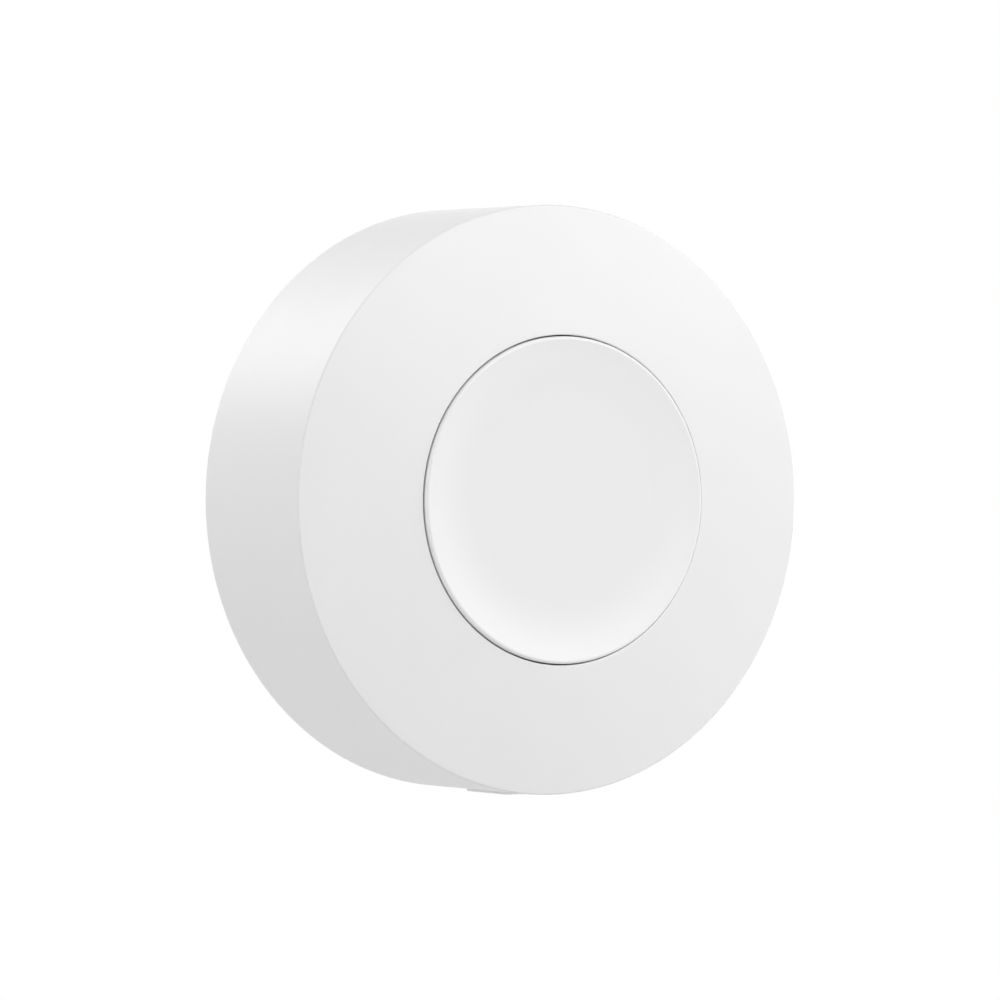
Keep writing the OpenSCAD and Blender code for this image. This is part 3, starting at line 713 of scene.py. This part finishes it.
# The clock crystal: a ceramic base with a nickel lid seam-welded on it, soldered beside the chip.
# The lid stands in from the base all round.
lid_metal = rolled("lid_metal", (0.60, 0.59, 0.56), (0.70, 0.69, 0.66), roughness=0.24)

crystal_at, crystal_half, crystal_top = footprint("crystal")
lid_h = 0.3
lid_rim = 0.2
lid_half = [half - lid_rim for half in crystal_half]
bm = bmesh.new()
base_edge = block_outline(crystal_at, *crystal_half, corner=0.15)
lid_edge = block_outline(crystal_at, *lid_half, corner=0.3)
plate(bm, [base_edge], board_top, crystal_top - lid_h, rounding=0.05)
plate(bm, [lid_edge], board_top + lid_h, crystal_top, rounding=0.1)
crystal_piece = stand(bm, "crystal_can", lid_metal)
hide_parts("crystal")
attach(crystal_piece, "housing")


# The chip parts: brick-shaped ceramic capacitors with a tinned cap on both ends, soldered round the switch.
# All are the same size, so one brick is copied to every place.
def bricks_at(places, length, width, height, finish, rounding, name):
    """Sets a brick of that size on the board at every place, with Geometry Nodes, as one piece."""
    sizes = {"Length": length, "Width": width, "Height": height}
    tree, given = new_tree("bricks", "Places", sizes)
    measure = {"X": given["Length"], "Y": given["Width"], "Z": given["Height"]}
    measure = add(tree, "ShaderNodeCombineXYZ", measure).outputs[0]
    half = add(tree, "ShaderNodeMath", {0: given["Height"], 1: 0.5}, operation="MULTIPLY").outputs[0]
    lift = add(tree, "ShaderNodeCombineXYZ", {"Z": half}).outputs[0]
    cube = add(tree, "GeometryNodeMeshCube", {"Size": measure}).outputs["Mesh"]
    brick = add(tree, "GeometryNodeTransform", {"Geometry": cube, "Translation": lift}).outputs[0]
    end_tree(tree, finish, {"Points": given["Places"], "Instance": brick})
    bm = bmesh.new()
    for x, y in places:
        bm.verts.new((x, y, board_top))
    return stand(grow(bm, tree, sizes), name, finish, rounding)


ceramic_dark = (0.27, 0.18, 0.11)
ceramic_light = (0.35, 0.24, 0.15)
ceramic = moulded("fired_ceramic", ceramic_dark, ceramic_light, roughness=0.5, texture=0.06, depth=0.004)

part_l = 1.6
part_w = 0.8
part_h = 0.7
part_cap = 0.32
body_inset = 0.05
body_drop = 0.03
body_size = (part_l - part_cap, part_w - body_inset, part_h - body_drop)
body_round = 0.05
cap_round = 0.06
part_places = [(-5.6, 8.2), (-8.0, 8.2), (-10.4, 8.2), (-5.0, -7.4), (-7.4, -7.4), (-9.8, -7.4),
               (8.8, -0.6), (8.8, 1.0), (8.8, 2.6), (3.6, 7.6)]
cap_places = [(x + side * (part_l - part_cap) / 2, y) for x, y in part_places for side in (-1, 1)]
bodies = bricks_at(part_places, *body_size, ceramic, body_round, "ceramic_bodies")
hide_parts("capacitors")
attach(bodies, "housing")
end_caps = bricks_at(cap_places, part_cap, part_w, part_h, solder, cap_round, "ceramic_end_caps")
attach(end_caps, "housing")


# The status light: a clear resin lens on a flat carrier, soldered to the board by its two ends.
# Its light comes out through the fine gap round the button.
clear, tree, surface, where = new_finish("clear_resin")
haze = mottle(tree, where, size=0.5)
shade(tree, surface, haze, (0.86, 0.86, 0.82), (0.94, 0.94, 0.90))
polish(tree, surface, haze, smooth=0.08, rough=0.16)
surface.inputs["Transmission Weight"].default_value = 0.85
surface.inputs["IOR"].default_value = 1.5

led_at, led_half, led_top = footprint("status_led")
lens_inset = 0.05
carrier_h = 0.4
bm = bmesh.new()
lens_edge = block_outline(led_at, led_half[1], led_half[1] - lens_inset, corner=0.2)
plate(bm, [lens_edge], board_top + carrier_h - lap, led_top, rounding=0.18)
lens = stand(bm, "light_lens", clear)
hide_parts("status_led")
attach(lens, "housing")
bm = bmesh.new()
carrier_edge = block_outline(led_at, *led_half, corner=0.1)
plate(bm, [carrier_edge], board_top, board_top + carrier_h, rounding=0.05)
carrier = stand(bm, "light_carrier", cover_white)
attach(carrier, "housing")


# The switch body: a square black moulding, soldered to the middle of the board, with a round well in front.
# Four stakes on its corners are melted over to hold the metal cover.
switch_half, switch_low, switch_z = reach("switch_base")
well_r = 2.7
well_depth = 1.2
well_z = switch_z - well_depth
foot_step = 0.06
switch_foot_half = switch_half - foot_step
switch_corner = 0.25
bm = bmesh.new()
switch_foot = block_outline((0, 0), switch_foot_half, switch_foot_half, switch_corner)
switch_wall = block_outline((0, 0), switch_half, switch_half, switch_corner)
plate(bm, [switch_foot], switch_low, well_z, rounding=0.1)
plate(bm, [switch_wall, circle(well_r, steps=64)], well_z - 6 * lap, switch_z, rounding=0.08)
switch_body = stand(bm, "switch_moulding", holder_black)
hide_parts("switch_base")
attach(switch_body, "housing")

cover_sheet = 0.3
stake_r = 0.42
stake_h = 0.2
stake_ring = 3.4
stake_z = switch_z + cover_sheet
bm = bmesh.new()
stake_dome = arc((0, stake_z), stake_r, 0, 90, 6)
stake_dome = [(r, stake_z + (z - stake_z) * stake_h / stake_r) for r, z in stake_dome[:-1]]
lathe(bm, [(0, stake_z - lap), (stake_r, stake_z - lap), *stake_dome, (0, stake_z + stake_h)], 24)
stakes = ring_of(bm, holder_black, count=4, ring_radius=stake_ring, first_angle=45.0)
stakes = stand(stakes, "switch_stakes", holder_black)
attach(stakes, "housing")


# The switch's legs: four strips of tinned brass, moulded into its body and bent down to the board.
# Their feet are soldered flat, two at each side.
leg_w = 0.7
leg_t = 0.2
leg_reach = 1.4
leg_pitch = 4.5
leg_bend = 0.2
leg_h = 0.8
leg_round = 0.04
leg_top = board_top + leg_h - leg_t / 2
leg_foot = board_top + leg_t / 2
knee_x = switch_half + leg_reach / 2 - leg_t / 2
leg_path = [(switch_half - 2 * lap, leg_top)]
leg_path += arc((knee_x - leg_bend, leg_top - leg_bend), leg_bend, 90, 0, 6)
leg_path += arc((knee_x + leg_bend, leg_foot + leg_bend), leg_bend, 180, 270, 6)
leg_path += [(switch_half + leg_reach, leg_foot)]
bm = bmesh.new()
for side in (-1, 1):
    place = Matrix.Translation((0, side * leg_pitch / 2, 0)) @ EDGEWISE
    plate(bm, [strip(leg_path, leg_t)], -leg_w / 2, leg_w / 2, leg_round, place)
legs = stand(ring_of(bm, solder, count=2, ring_radius=0.0), "switch_legs", solder)
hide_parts("switch_terminals")
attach(legs, "housing")


# The copper tracks: lines of etched copper under the mask on both faces of the board, which join its parts.
# A channel of bare laminate, darker through the mask, parts each from the ground copper about it.
# Four gold test pads below the switch are left open, for loading the chip in the factory.
def land(side, number):
    """Outer end of one of the chip's lands, counted along its side from the left or from below."""
    along = (number - (land_count - 1) / 2) * land_pitch
    out = chip_half + land_reach
    ends = {"right": (out, along), "top": (along, out), "left": (-out, along), "bottom": (along, -out)}
    return chip_at[0] + ends[side][0], chip_at[1] + ends[side][1]


signal_w = 0.3
feed_w = 0.5
supply_w = 0.7
front_tracks = [
    (feed_w, [land("top", 7), (-7.05, 6.6), (-6.24, 7.41), (-6.24, 8.2)]),
    (feed_w, [(-4.96, 8.2), (-4.96, 12.2), (-5.95, 13.19), trace_path[0]]),
    (signal_w, [land("top", 5), (-8.05, 6.6), (-7.36, 7.29), (-7.36, 8.2)]),
    (signal_w, [land("top", 4), (-8.55, 8.2)]),
    (signal_w, [land("top", 1), (-10.05, 6.4), (-9.76, 6.69), (-9.76, 8.2)]),
    (signal_w, [land("top", 0), (-10.55, 6.4), (-11.04, 6.89), (-11.04, 8.2)]),
    (signal_w, [land("bottom", 2), (-9.55, -2.9)]),
    (signal_w, [land("bottom", 5), (-8.05, -2.9)]),
    (signal_w, [(-9.8, -5.1), (-9.8, -6.4), (-10.44, -7.04), (-10.44, -7.4)]),
    (signal_w, [(-7.8, -5.1), (-7.8, -6.5), (-8.04, -6.74), (-8.04, -7.4)]),
    (signal_w, [land("bottom", 7), (-7.05, -1.0), (-6.2, -1.85), (-6.2, -12.0)]),
    (signal_w, [land("right", 3), (-4.1, 2.25)]),
    (signal_w, [land("right", 1), (-5.2, 0.5), (-5.2, -1.6), (-4.55, -2.25), (-4.1, -2.25)]),
    (signal_w, [land("right", 6), (-5.2, 4.5), (5.5, 4.5), (7.4, 2.6), (8.2, 2.6)]),
    (signal_w, [land("right", 5), (-5.2, 4.0), (5.3, 4.0), (7.5, 1.8), (7.5, 1.6), (8.1, 1.0), (8.2, 1.0)]),
    (signal_w, [land("right", 7), (-5.1, 5.1), (1.0, 5.1), (2.96, 7.06), (2.96, 7.6)]),
    (signal_w, [land("right", 0), (-5.7, 0.5), (-5.7, -3.2), (-4.9, -4.0), (5.4, -4.0), (6.2, -3.2),
                (8.0, -3.2)]),
    (signal_w, [land("left", 1), (-12.4, 1.25), (-15.6, -1.95), (-15.6, -3.2)]),
    (signal_w, [land("left", 4), (-15.8, 2.75)]),
    (signal_w, [land("left", 6), (-12.2, 3.75), (-14.0, 5.55), (-14.0, 6.2)]),
    (signal_w, [(2.8, -12.0), (4.2, -12.0), (5.0, -12.8)]),
    (signal_w, [(4.1, -2.25), (5.2, -2.25), (6.85, -0.6), (8.2, -0.6)]),
    (supply_w, [(10.6, 3.0), (10.6, -7.6), (10.2, -8.0), (10.2, -10.4)]),
    (supply_w, [(-4.4, -7.4), (7.4, -7.4), (10.6, -4.2)]),
    (supply_w, [(-3.2, -7.4), (-3.2, -12.0)]),
    *((supply_w, [(9.4, y), (10.6, y)]) for y in (2.6, 1.0, -0.6, -3.2)),
]
rear_tracks = [
    (signal_w, [(-14.0, 6.2), (-14.0, 6.8), (-10.8, 10.0), (-7.0, 10.0)]),
    (signal_w, [(-15.8, 2.75), (-15.8, 6.2), (-10.2, 11.8), (-6.0, 11.8)]),
    (signal_w, [(-15.6, -3.2), (-15.6, -5.6), (-8.4, -12.8), (5.0, -12.8)]),
    (supply_w, [(14.2, -1.1), (15.6, -2.5), (15.6, -5.0), (10.2, -10.4)]),
]
track_vias = [(-14.0, 6.2), (-15.8, 2.75), (-15.6, -3.2), (5.0, -12.8), (10.2, -10.4)]
test_pads = [(-6.2, -12.0), (-3.2, -12.0), (-0.2, -12.0), (2.8, -12.0)]
track_h = 0.035
channel_h = 0.005
track_step = 0.0005
channel_w = 0.2
track_via_r = 0.3
test_pad_r = 0.7
via_clear = 0.5
antenna_clear = 0.6
bare_r = via_ring - via_clear
bare_y = antenna_y - trace_run / 2 - antenna_clear
bare_angle = math.degrees(math.asin(bare_y / bare_r))
bare_patch = arc((0, 0), bare_r, bare_angle, 180 - bare_angle, 48)

copper_mask = masked("mask_on_copper", (0.020, 0.160, 0.072), (0.023, 0.178, 0.080))[0]
channel_mask = masked("mask_on_laminate", (0.009, 0.072, 0.034), (0.011, 0.084, 0.040))[0]
copper = bmesh.new()
channels = bmesh.new()
for routes, face, out in ((front_tracks, board_top, 1), (rear_tracks, board_z, -1)):
    foot = face - out * hair
    plate(channels, [bare_patch], *sorted((foot, face + out * channel_h)))
    for i, (width, path) in enumerate(routes, 1):
        channel_top = face + out * (channel_h + i * track_step)
        track_top = face + out * (track_h + i * track_step)
        plate(channels, [strip(path, width + 2 * channel_w)], *sorted((foot, channel_top)))
        plate(copper, [strip(path, width)], *sorted((foot, track_top)))
tracks = stand(copper, "board_tracks", copper_mask)
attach(tracks, "housing")
bare = stand(channels, "track_channels", channel_mask)
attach(bare, "housing")

bm = bmesh.new()
for x, y in track_vias:
    for low, high in ((board_z - 2 * via_t, board_z + via_t), (board_top - via_t, board_top + 2 * via_t)):
        ring = [(via_hole, low), (track_via_r, low), (track_via_r, high), (via_hole, high)]
        lathe(bm, ring, 16, Matrix.Translation((x, y, 0)))
for x, y in test_pads:
    plate(bm, [circle(test_pad_r, (x, y), 32)], board_top - via_t, board_top + 2 * via_t, via_t / 2)
pads = stand(bm, "test_pads", trace_gold)
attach(pads, "housing")


# The snap dome: a thin bowed disc of spring steel, loose on the floor of the well.
# It gives the click, and flattens under the plunger when the button is pressed.
spring_steel = rolled("spring_steel", (0.58, 0.58, 0.59), (0.68, 0.68, 0.69), roughness=0.22)

dome_r, dome_z, dome_top = reach("switch_dome")
dome_t = 0.1
dome_h = dome_top - dome_z
ball_r = (dome_r ** 2 + dome_h ** 2) / (2 * dome_h)
ball_c = (0, dome_top - ball_r)
lip_angle = math.degrees(math.acos(dome_r / ball_r))
inner_angle = math.degrees(math.asin((ball_r - dome_h) / (ball_r - dome_t)))
bm = bmesh.new()
dome_outside = arc(ball_c, ball_r, lip_angle, 90, 16)[:-1] + [(0, dome_top)]
dome_inside = [(0, dome_top - dome_t)] + arc(ball_c, ball_r - dome_t, 90, inner_angle, 16)[1:]
lathe(bm, dome_outside + dome_inside, 96)
dome = stand(bm, "snap_dome", spring_steel)
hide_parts("switch_dome")
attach(dome, "housing")
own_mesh(dome)


# The switch's plunger: a moulded stem with a wide foot on the dome, held in by the cover.
# The post behind the button rests on its rounded tip.
foot_r, plunger_low, plunger_top = reach("switch_plunger")
stem_r = 1.75
foot_t = 0.6
tip_round = 0.25
foot_round = 0.08
foot_top = plunger_low + foot_t
bm = bmesh.new()
plunger_side = arc((foot_r - foot_round, plunger_low + foot_round), foot_round, -90, 0, 4)
plunger_side += arc((foot_r - foot_round, foot_top - foot_round), foot_round, 0, 90, 4)
plunger_side += [(stem_r, foot_top)]
plunger_side += arc((stem_r - tip_round, plunger_top - tip_round), tip_round, 0, 90, 6)
lathe(bm, [(0, plunger_low), *plunger_side, (0, plunger_top)], 96)
plunger = stand(bm, "switch_stem", holder_black)
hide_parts("switch_plunger")
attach(plunger, "plunger")


# The switch's cover: a stamped steel plate with a hole for the plunger, staked onto the body.
# Two clips are bent down from it over the sides of the body.
SIDEWISE = Matrix(((0, 0, 1, 0), (1, 0, 0, 0), (0, 1, 0, 0), (0, 0, 0, 1)))
plunger_hole = 1.85
clip_w = 2.0
clip_l = 2.0
clip_bend = 0.2
clip_y = switch_half + cover_sheet / 2
clip_z = switch_z + cover_sheet / 2
clip_path = [(switch_half - 6 * lap, clip_z - hair)]
clip_path += arc((clip_y - clip_bend, clip_z - hair - clip_bend), clip_bend, 90, 0, 6)
clip_path += [(clip_y, switch_z - clip_l)]
clip = strip(clip_path, cover_sheet - lap / 2)
bm = bmesh.new()
plate(bm, [switch_wall, circle(plunger_hole, steps=64)], switch_z, switch_z + cover_sheet, rounding=0.06)
for angle in (0, 180):
    plate(bm, [clip], -clip_w / 2, clip_w / 2, rounding=0.05, place=turned(angle) @ SIDEWISE)
switch_lid = stand(bm, "switch_cover_plate", spring_steel)
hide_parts("switch_cover")
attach(switch_lid, "housing")


# The board screws: three plated pan-head screws for plastic, with a cross recess in each head.
# They go in from the rear through the board, and cut their thread in the housing's bosses.
screw_steel = rolled("plated_steel", (0.54, 0.55, 0.57), (0.66, 0.67, 0.69), roughness=0.28)

head_r = 1.9
head_h = 1.3
head_round = 0.16
cross_half = 0.3
cross_reach = 1.1
cross_depth = 0.7
core_r = 0.78
thread_depth = 0.2
thread_pitch = 0.8
_, head_z, screw_tip = reach("board_screws")
recess_z = head_z + cross_depth
head_low = head_z + head_h
cross = []
for angle in (0, 90, 180, 270):
    corners = ((cross_reach, -cross_half), (cross_reach, cross_half), (cross_half, cross_half))
    cross += [tuple((turned(angle) @ Vector((x, y, 0))).xy) for x, y in corners]
thread_l = screw_tip - board_top - 2 * lap
sizes = {"Count": 3, "Ring Radius": screw_ring, "First Angle": math.radians(SCREW_ANGLES[0]),
         "Core Radius": core_r, "Thread Depth": thread_depth, "Thread Length": thread_l,
         "Thread Start": board_top + lap, "Thread Turns": thread_l / thread_pitch}
tree, given = new_tree("ring_of_screws", "Head", sizes)
helix = {"Resolution": 20, "Rotations": given["Thread Turns"], "Start Radius": given["Core Radius"],
         "End Radius": given["Core Radius"], "Height": given["Thread Length"]}
helix = add(tree, "GeometryNodeCurveSpiral", helix).outputs[0]
ridge = {"Resolution": 3, "Radius": given["Thread Depth"]}
ridge = add(tree, "GeometryNodeCurvePrimitiveCircle", ridge).outputs[0]
thread = {"Curve": helix, "Profile Curve": ridge, "Fill Caps": True}
thread = add(tree, "GeometryNodeCurveToMesh", thread).outputs[0]
start = add(tree, "ShaderNodeCombineXYZ", {"Z": given["Thread Start"]}).outputs[0]
thread = add(tree, "GeometryNodeTransform", {"Geometry": thread, "Translation": start}).outputs[0]
screw = add(tree, "GeometryNodeJoinGeometry")
tree.links.new(thread, screw.inputs[0])
tree.links.new(given["Head"], screw.inputs[0])
places = {"Vertices": given["Count"], "Radius": given["Ring Radius"]}
places = add(tree, "GeometryNodeMeshCircle", places).outputs[0]
turn = add(tree, "ShaderNodeCombineXYZ", {"Z": given["First Angle"]}).outputs[0]
places = add(tree, "GeometryNodeTransform", {"Geometry": places, "Rotation": turn}).outputs[0]
end_tree(tree, screw_steel, {"Points": places, "Instance": screw.outputs[0]})
bm = bmesh.new()
plate(bm, [circle(head_r, steps=64), cross], head_z, recess_z + 2 * lap, head_round)
shank = [(0, recess_z), (head_r - lap / 2, recess_z), (head_r - lap / 2, head_low), (core_r, head_low)]
lathe(bm, shank + [(core_r, screw_tip - root), (core_r / 3, screw_tip), (0, screw_tip)], 48)
screws = stand(grow(bm, tree, sizes), "board_screws_threaded", screw_steel)
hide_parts("board_screws")
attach(screws, "housing")


# The housing: one white moulding with a slightly tapered wall, a crowned face and a bore for the button.
# Inside it has a keyed collar, screw bosses and bayonet ledges.
# A low rib under the wall marks how it lines up with the back cover.
white = moulded("housing_plastic", (0.815, 0.815, 0.815), (0.825, 0.825, 0.825), roughness=0.45)

body_r, rear_z, _ = reach("front_shell")
wall_depth = 15.6
wall_draft = 0.15
wall_t = 1.8
face_t = 2.0
face_rise = 2.0
edge_round = 0.18
bore_round = 0.1
collar_t = 1.2
collar_h = 4.5
collar_round = 0.1
key_w = 2.0
key_h = 2.0
key_reach = 0.75
key_gap = 0.2
button_r = 13.85
button_gap = 0.12
bore_r = button_r + button_gap
collar_r = bore_r + collar_t
rear_r = body_r - wall_draft
inner_r = body_r - wall_t
edge_z = rear_z + wall_depth
crown_z = edge_z + face_rise
collar_z = crown_z - collar_h
slot_z = collar_z + key_h + key_gap
slot_r = button_r + key_reach + key_gap
crown_drop = (body_r ** 2 - bore_r ** 2 - face_rise ** 2) / (2 * face_rise)
crown_c = (0, edge_z - crown_drop)
crown_r = math.hypot(body_r, crown_drop)
under_r = crown_r - face_t


def ball_z(radius, out):
    """Depth of a ball about the crown's centre, at that distance out from the axis."""
    return crown_c[1] + math.sqrt(radius ** 2 - out ** 2)


def ball_angle(point):
    """Angle of an outline point, seen from the crown's centre."""
    return math.degrees(math.atan2(point[1] - crown_c[1], point[0]))


edge_c = (body_r - edge_round, ball_z(crown_r - edge_round, body_r - edge_round))
bore_c = (bore_r + bore_round, ball_z(crown_r - bore_round, bore_r + bore_round))
outside = arc((rear_r - rear_round, rear_z + rear_round), rear_round, -90, 0, 8)
outside += arc(edge_c, edge_round, 0, ball_angle(edge_c), 10)
outside += arc(crown_c, crown_r, ball_angle(edge_c), ball_angle(bore_c), 40)[1:]
outside += arc(bore_c, bore_round, ball_angle(bore_c), 180, 8)[1:]
collar_angle = math.degrees(math.acos((collar_r - hair) / under_r))
wall_angle = math.degrees(math.acos(inner_r / under_r))
inside = [(bore_r, slot_z - lap), (collar_r - hair, slot_z - lap)]
inside += arc(crown_c, under_r, collar_angle, wall_angle, 24)
bm = bmesh.new()
lathe(bm, outside + inside + [(inner_r, rear_z)], 256)

slot_half = key_w / 2 + key_gap
slot_inside = math.degrees(math.asin(slot_half / bore_r))
slot_outside = math.degrees(math.asin(slot_half / slot_r))
keyed_bore = []
for angle in LOCK_ANGLES:
    keyed_bore += arc((0, 0), slot_r, angle - slot_outside, angle + slot_outside, 8)
    keyed_bore += arc((0, 0), bore_r, angle + slot_inside, angle + 120 - slot_inside, 48)
plate(bm, [circle(collar_r, steps=192), keyed_bore], collar_z, slot_z, collar_round)

boss_r = 2.2
boss_hole = 1.05
boss_depth = 4.4
boss_end = board_top + boss_depth
boss_round = 0.15
boss_top = ball_z(under_r, screw_ring - boss_r) + root
boss = [(0, boss_end), (boss_hole, boss_end), (boss_hole, board_top)]
boss += arc((boss_r - boss_round, board_top + boss_round), boss_round, -90, 0, 4)
boss += [(boss_r, boss_top), (0, boss_top)]
for angle in SCREW_ANGLES:
    lathe(bm, boss, 64, turned(angle) @ Matrix.Translation((screw_ring, 0, 0)))

ledge_r = 21.7
ledge_low = 2.6
ledge_t = 1.1
ledge_half_arc = 16.0
ledge_round = 0.12
stop_half_arc = 1.5
stop_gap = 0.5
stop_back = 0.2
stop_in = ledge_r + stop_back
stop_angle = lug_half_arc + stop_gap + stop_half_arc
ledge = sector(ledge_r, inner_r + root, ledge_half_arc)
stop = sector(stop_in, inner_r + root, stop_half_arc)
for angle in LOCK_ANGLES:
    plate(bm, [ledge], ledge_low, ledge_low + ledge_t, ledge_round, turned(angle))
    plate(bm, [stop], ledge_low + root, ring_z, ledge_round, turned(angle + stop_angle))

rib_half = 1.2
rib_proud = 0.22
rib_start = rear_z + 4.0
rib_level = 6.0
rib_ramp = 3.9
rib_sink = 0.05
rib_round = 0.08
rib_root = inner_r + root
ramp_z = rib_start + rib_level


def wall_x(depth):
    """Radius of the tapered wall at that depth."""
    return rear_r + wall_draft * (depth - rear_z) / wall_depth


rib_side = [(rib_root, rib_start)]
rib_side += arc((wall_x(rib_start), rib_start + rib_proud), rib_proud, -90, 0, 8)
ramp_steps = 16
for i in range(ramp_steps + 1):
    along = i / ramp_steps
    depth = ramp_z + rib_ramp * along
    lift = rib_proud * (1 + math.cos(math.pi * along)) / 2 - rib_sink * along
    rib_side.append((wall_x(depth) + lift, depth))
rib_side += [(rib_root, ramp_z + rib_ramp)]
plate(bm, [rib_side], -rib_half, rib_half, rib_round, turned(-90) @ EDGEWISE)
housing = stand(bm, "housing_moulding", white)
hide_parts("front_shell")
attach(housing, "housing")


# The button: a white moulding with a dished face and a rim that stands a little proud of the housing.
# Its skirt slides in the collar, where three tabs stop it falling out and three keys stop it turning.
# Webs stiffen its face, and a post in the middle works the switch.
button_white, tree, surface, where = new_finish("button_plastic")
spark = mottle(tree, where, size=0.22, detail=3.0)
# Painted light: the base colour is painted lighter over the dish's sloping edge, rising smoothly from 0.820
# on the flat middle to 0.852 near the rim. It is a painted brightening, not a tint of the plastic.
painted_glow_start = 9.2
painted_glow_end = 12.8
rise = {"Value": from_axis(tree, where), "From Min": painted_glow_start * MM, "From Max": painted_glow_end * MM}
rise = add(tree, "ShaderNodeMapRange", rise, interpolation_type="SMOOTHSTEP").outputs["Result"]
shade(tree, surface, rise, (0.820, 0.820, 0.820), (0.852, 0.852, 0.852), low=0.0, high=1.0)
polish(tree, surface, spark, smooth=0.41, rough=0.49)
dent(tree, surface, spark, depth=0.0012)

_, tab_z, rim_z = reach("button_cap")
rim_round = 0.25
dish_depth = 0.44
dish_flat = 8.6
button_t = 1.6
skirt_t = 1.3
tab_reach = 0.9
tab_half_arc = 25.0
tab_round = 0.15
key_round = 0.1
post_r = 1.6
web_t = 1.0
web_gap = 1.3
web_round = 0.1
web_step = 60
rim_c = (button_r - rim_round, rim_z - rim_round)
dish_z = rim_z - dish_depth
run = rim_c[0] - dish_flat
blend_r = (run ** 2 + dish_depth ** 2) / (2 * dish_depth)
dish_r = blend_r - rim_round
slope = math.degrees(math.asin(run / blend_r))
skirt_in = button_r - skirt_t
under_z = dish_z - button_t
web_z = plunger_top + web_gap
face = arc((dish_flat, dish_z + dish_r), dish_r, -90, slope - 90, 32)
rim = arc(rim_c, rim_round, 90 + slope, 0, 16)[1:]
skirt_z = tab_z + hair
skirt_foot = arc((button_r - lap, skirt_z + lap), lap, 0, -90, 4)
bm = bmesh.new()
button_side = [*face, *rim, *skirt_foot, (skirt_in, skirt_z), (skirt_in, under_z)]
lathe(bm, [(0, dish_z), *button_side, (0, under_z)], 256)
skirt_root = skirt_in + root
key_end = button_r + key_reach
tab = sector(skirt_in + lap, bore_r + tab_reach, tab_half_arc)
key = block_outline(((skirt_root + key_end) / 2, 0), (key_end - skirt_root) / 2, key_w / 2, corner=0.1)
for angle in LOCK_ANGLES:
    plate(bm, [tab], tab_z, collar_z, tab_round, turned(angle))
    plate(bm, [key], collar_z - root, collar_z + key_h, key_round, turned(angle))
post_tip = arc((post_r - lap, plunger_top + lap), lap, -90, 0, 4)
lathe(bm, [(0, plunger_top), *post_tip, (post_r, under_z + root), (0, under_z + root)], 64)
web = block_outline((skirt_root / 2, 0), skirt_root / 2, web_t / 2)
for angle in range(0, 360, web_step):
    plate(bm, [web], web_z, under_z + root, web_round, turned(angle))
button = stand(bm, "button_moulding", button_white)
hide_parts("button_cap")
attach(button, "button")


# The studio: a round pale floor below the button and eight soft round lamps about it, on a white ground.
# The lamps stand where the shading of the photograph puts them, and the floor lights the underside.
# Its sizes are in metres, and the lamps' powers in watts.
floor_pale, tree, surface, where = new_finish("pale_floor")
shade(tree, surface, mottle(tree, where, size=40.0), (0.815, 0.815, 0.815), (0.825, 0.825, 0.825))
surface.inputs["Roughness"].default_value = 0.9
surface.inputs["Specular IOR Level"].default_value = 0.0
floor_z = -0.15
floor_r = 0.7
bm = bmesh.new()
level = Matrix.Translation((0, 0, floor_z))
bmesh.ops.create_circle(bm, cap_ends=True, segments=128, radius=floor_r, matrix=level)
floor_mesh = bpy.data.meshes.new("floor")
bm.to_mesh(floor_mesh)
bm.free()
floor_mesh.materials.append(floor_pale)
floor = bpy.data.objects.new("floor", floor_mesh)
bpy.context.scene.collection.objects.link(floor)


def direction(around, up):
    """Direction from the button: that many degrees round to the right of its front, and up from level."""
    turn = math.radians(around)
    rise = math.radians(up)
    return Vector((math.sin(turn) * math.cos(rise), -math.cos(turn) * math.cos(rise), math.sin(rise)))


aim = Vector((0, -15 * MM, 0))
lamp_distance = 2.5
lamp_size = 1.4
lamps = (("front", 0, 38, 22.0), ("front_right", 30, 25, 18.5), ("right", 60, 25, 21.8),
         ("high_left", -60, 64, 6.0), ("left", -90, 12, 23.7), ("back_left", -150, 36, 24.4),
         ("back", 180, 25, 3.4), ("back_right", 120, 12, 28.0))
for name, around, up, power in lamps:
    towards = direction(around, up)
    light = bpy.data.lights.new("lamp_" + name, "AREA")
    light.shape = "DISK"
    light.size = lamp_size
    light.energy = power
    lamp = bpy.data.objects.new("lamp_" + name, light)
    lamp.location = aim + towards * lamp_distance
    lamp.rotation_euler = towards.to_track_quat("Z", "Y").to_euler()
    bpy.context.scene.collection.objects.link(lamp)

world = bpy.data.worlds.new("white_ground")
world.use_nodes = True
bpy.context.scene.world = world
tree = world.node_tree
rays = add(tree, "ShaderNodeLightPath").outputs
seen = rays["Is Camera Ray"]
for ray in ("Is Glossy Ray", "Is Transmission Ray"):
    seen = add(tree, "ShaderNodeMath", {0: seen, 1: rays[ray]}, operation="MAXIMUM").outputs[0]
ground = tree.nodes["Background"]
ground.inputs["Color"].default_value = (1, 1, 1, 1)
tree.links.new(seen, ground.inputs["Strength"])


# The camera: level with the button and a little to its left, at the photograph's angle and distance.
# Its place is given from the middle of the housing's front edge.
camera_turn = -32.33
camera_rise = 0.70
camera_away = 719.0
camera_side = -4.33
camera_drop = -0.01
photo_px = 1000
lens_px = 8487.0
back = direction(camera_turn, camera_rise)
right = (-back).cross(Vector((0, 0, 1))).normalized()
upward = right.cross(-back)
spot = (back * camera_away + right * camera_side + upward * camera_drop + Vector((0, -edge_z, 0))) * MM
view = bpy.data.cameras.new("camera")
view.sensor_width = 36
view.lens = view.sensor_width * lens_px / photo_px
view.clip_start = 0.01
camera = bpy.data.objects.new("camera", view)
camera.matrix_world = Matrix((right, upward, back)).transposed().to_4x4()
camera.location = spot
bpy.context.scene.collection.objects.link(camera)
bpy.context.scene.camera = camera
bpy.context.scene.view_settings.view_transform = "Standard"
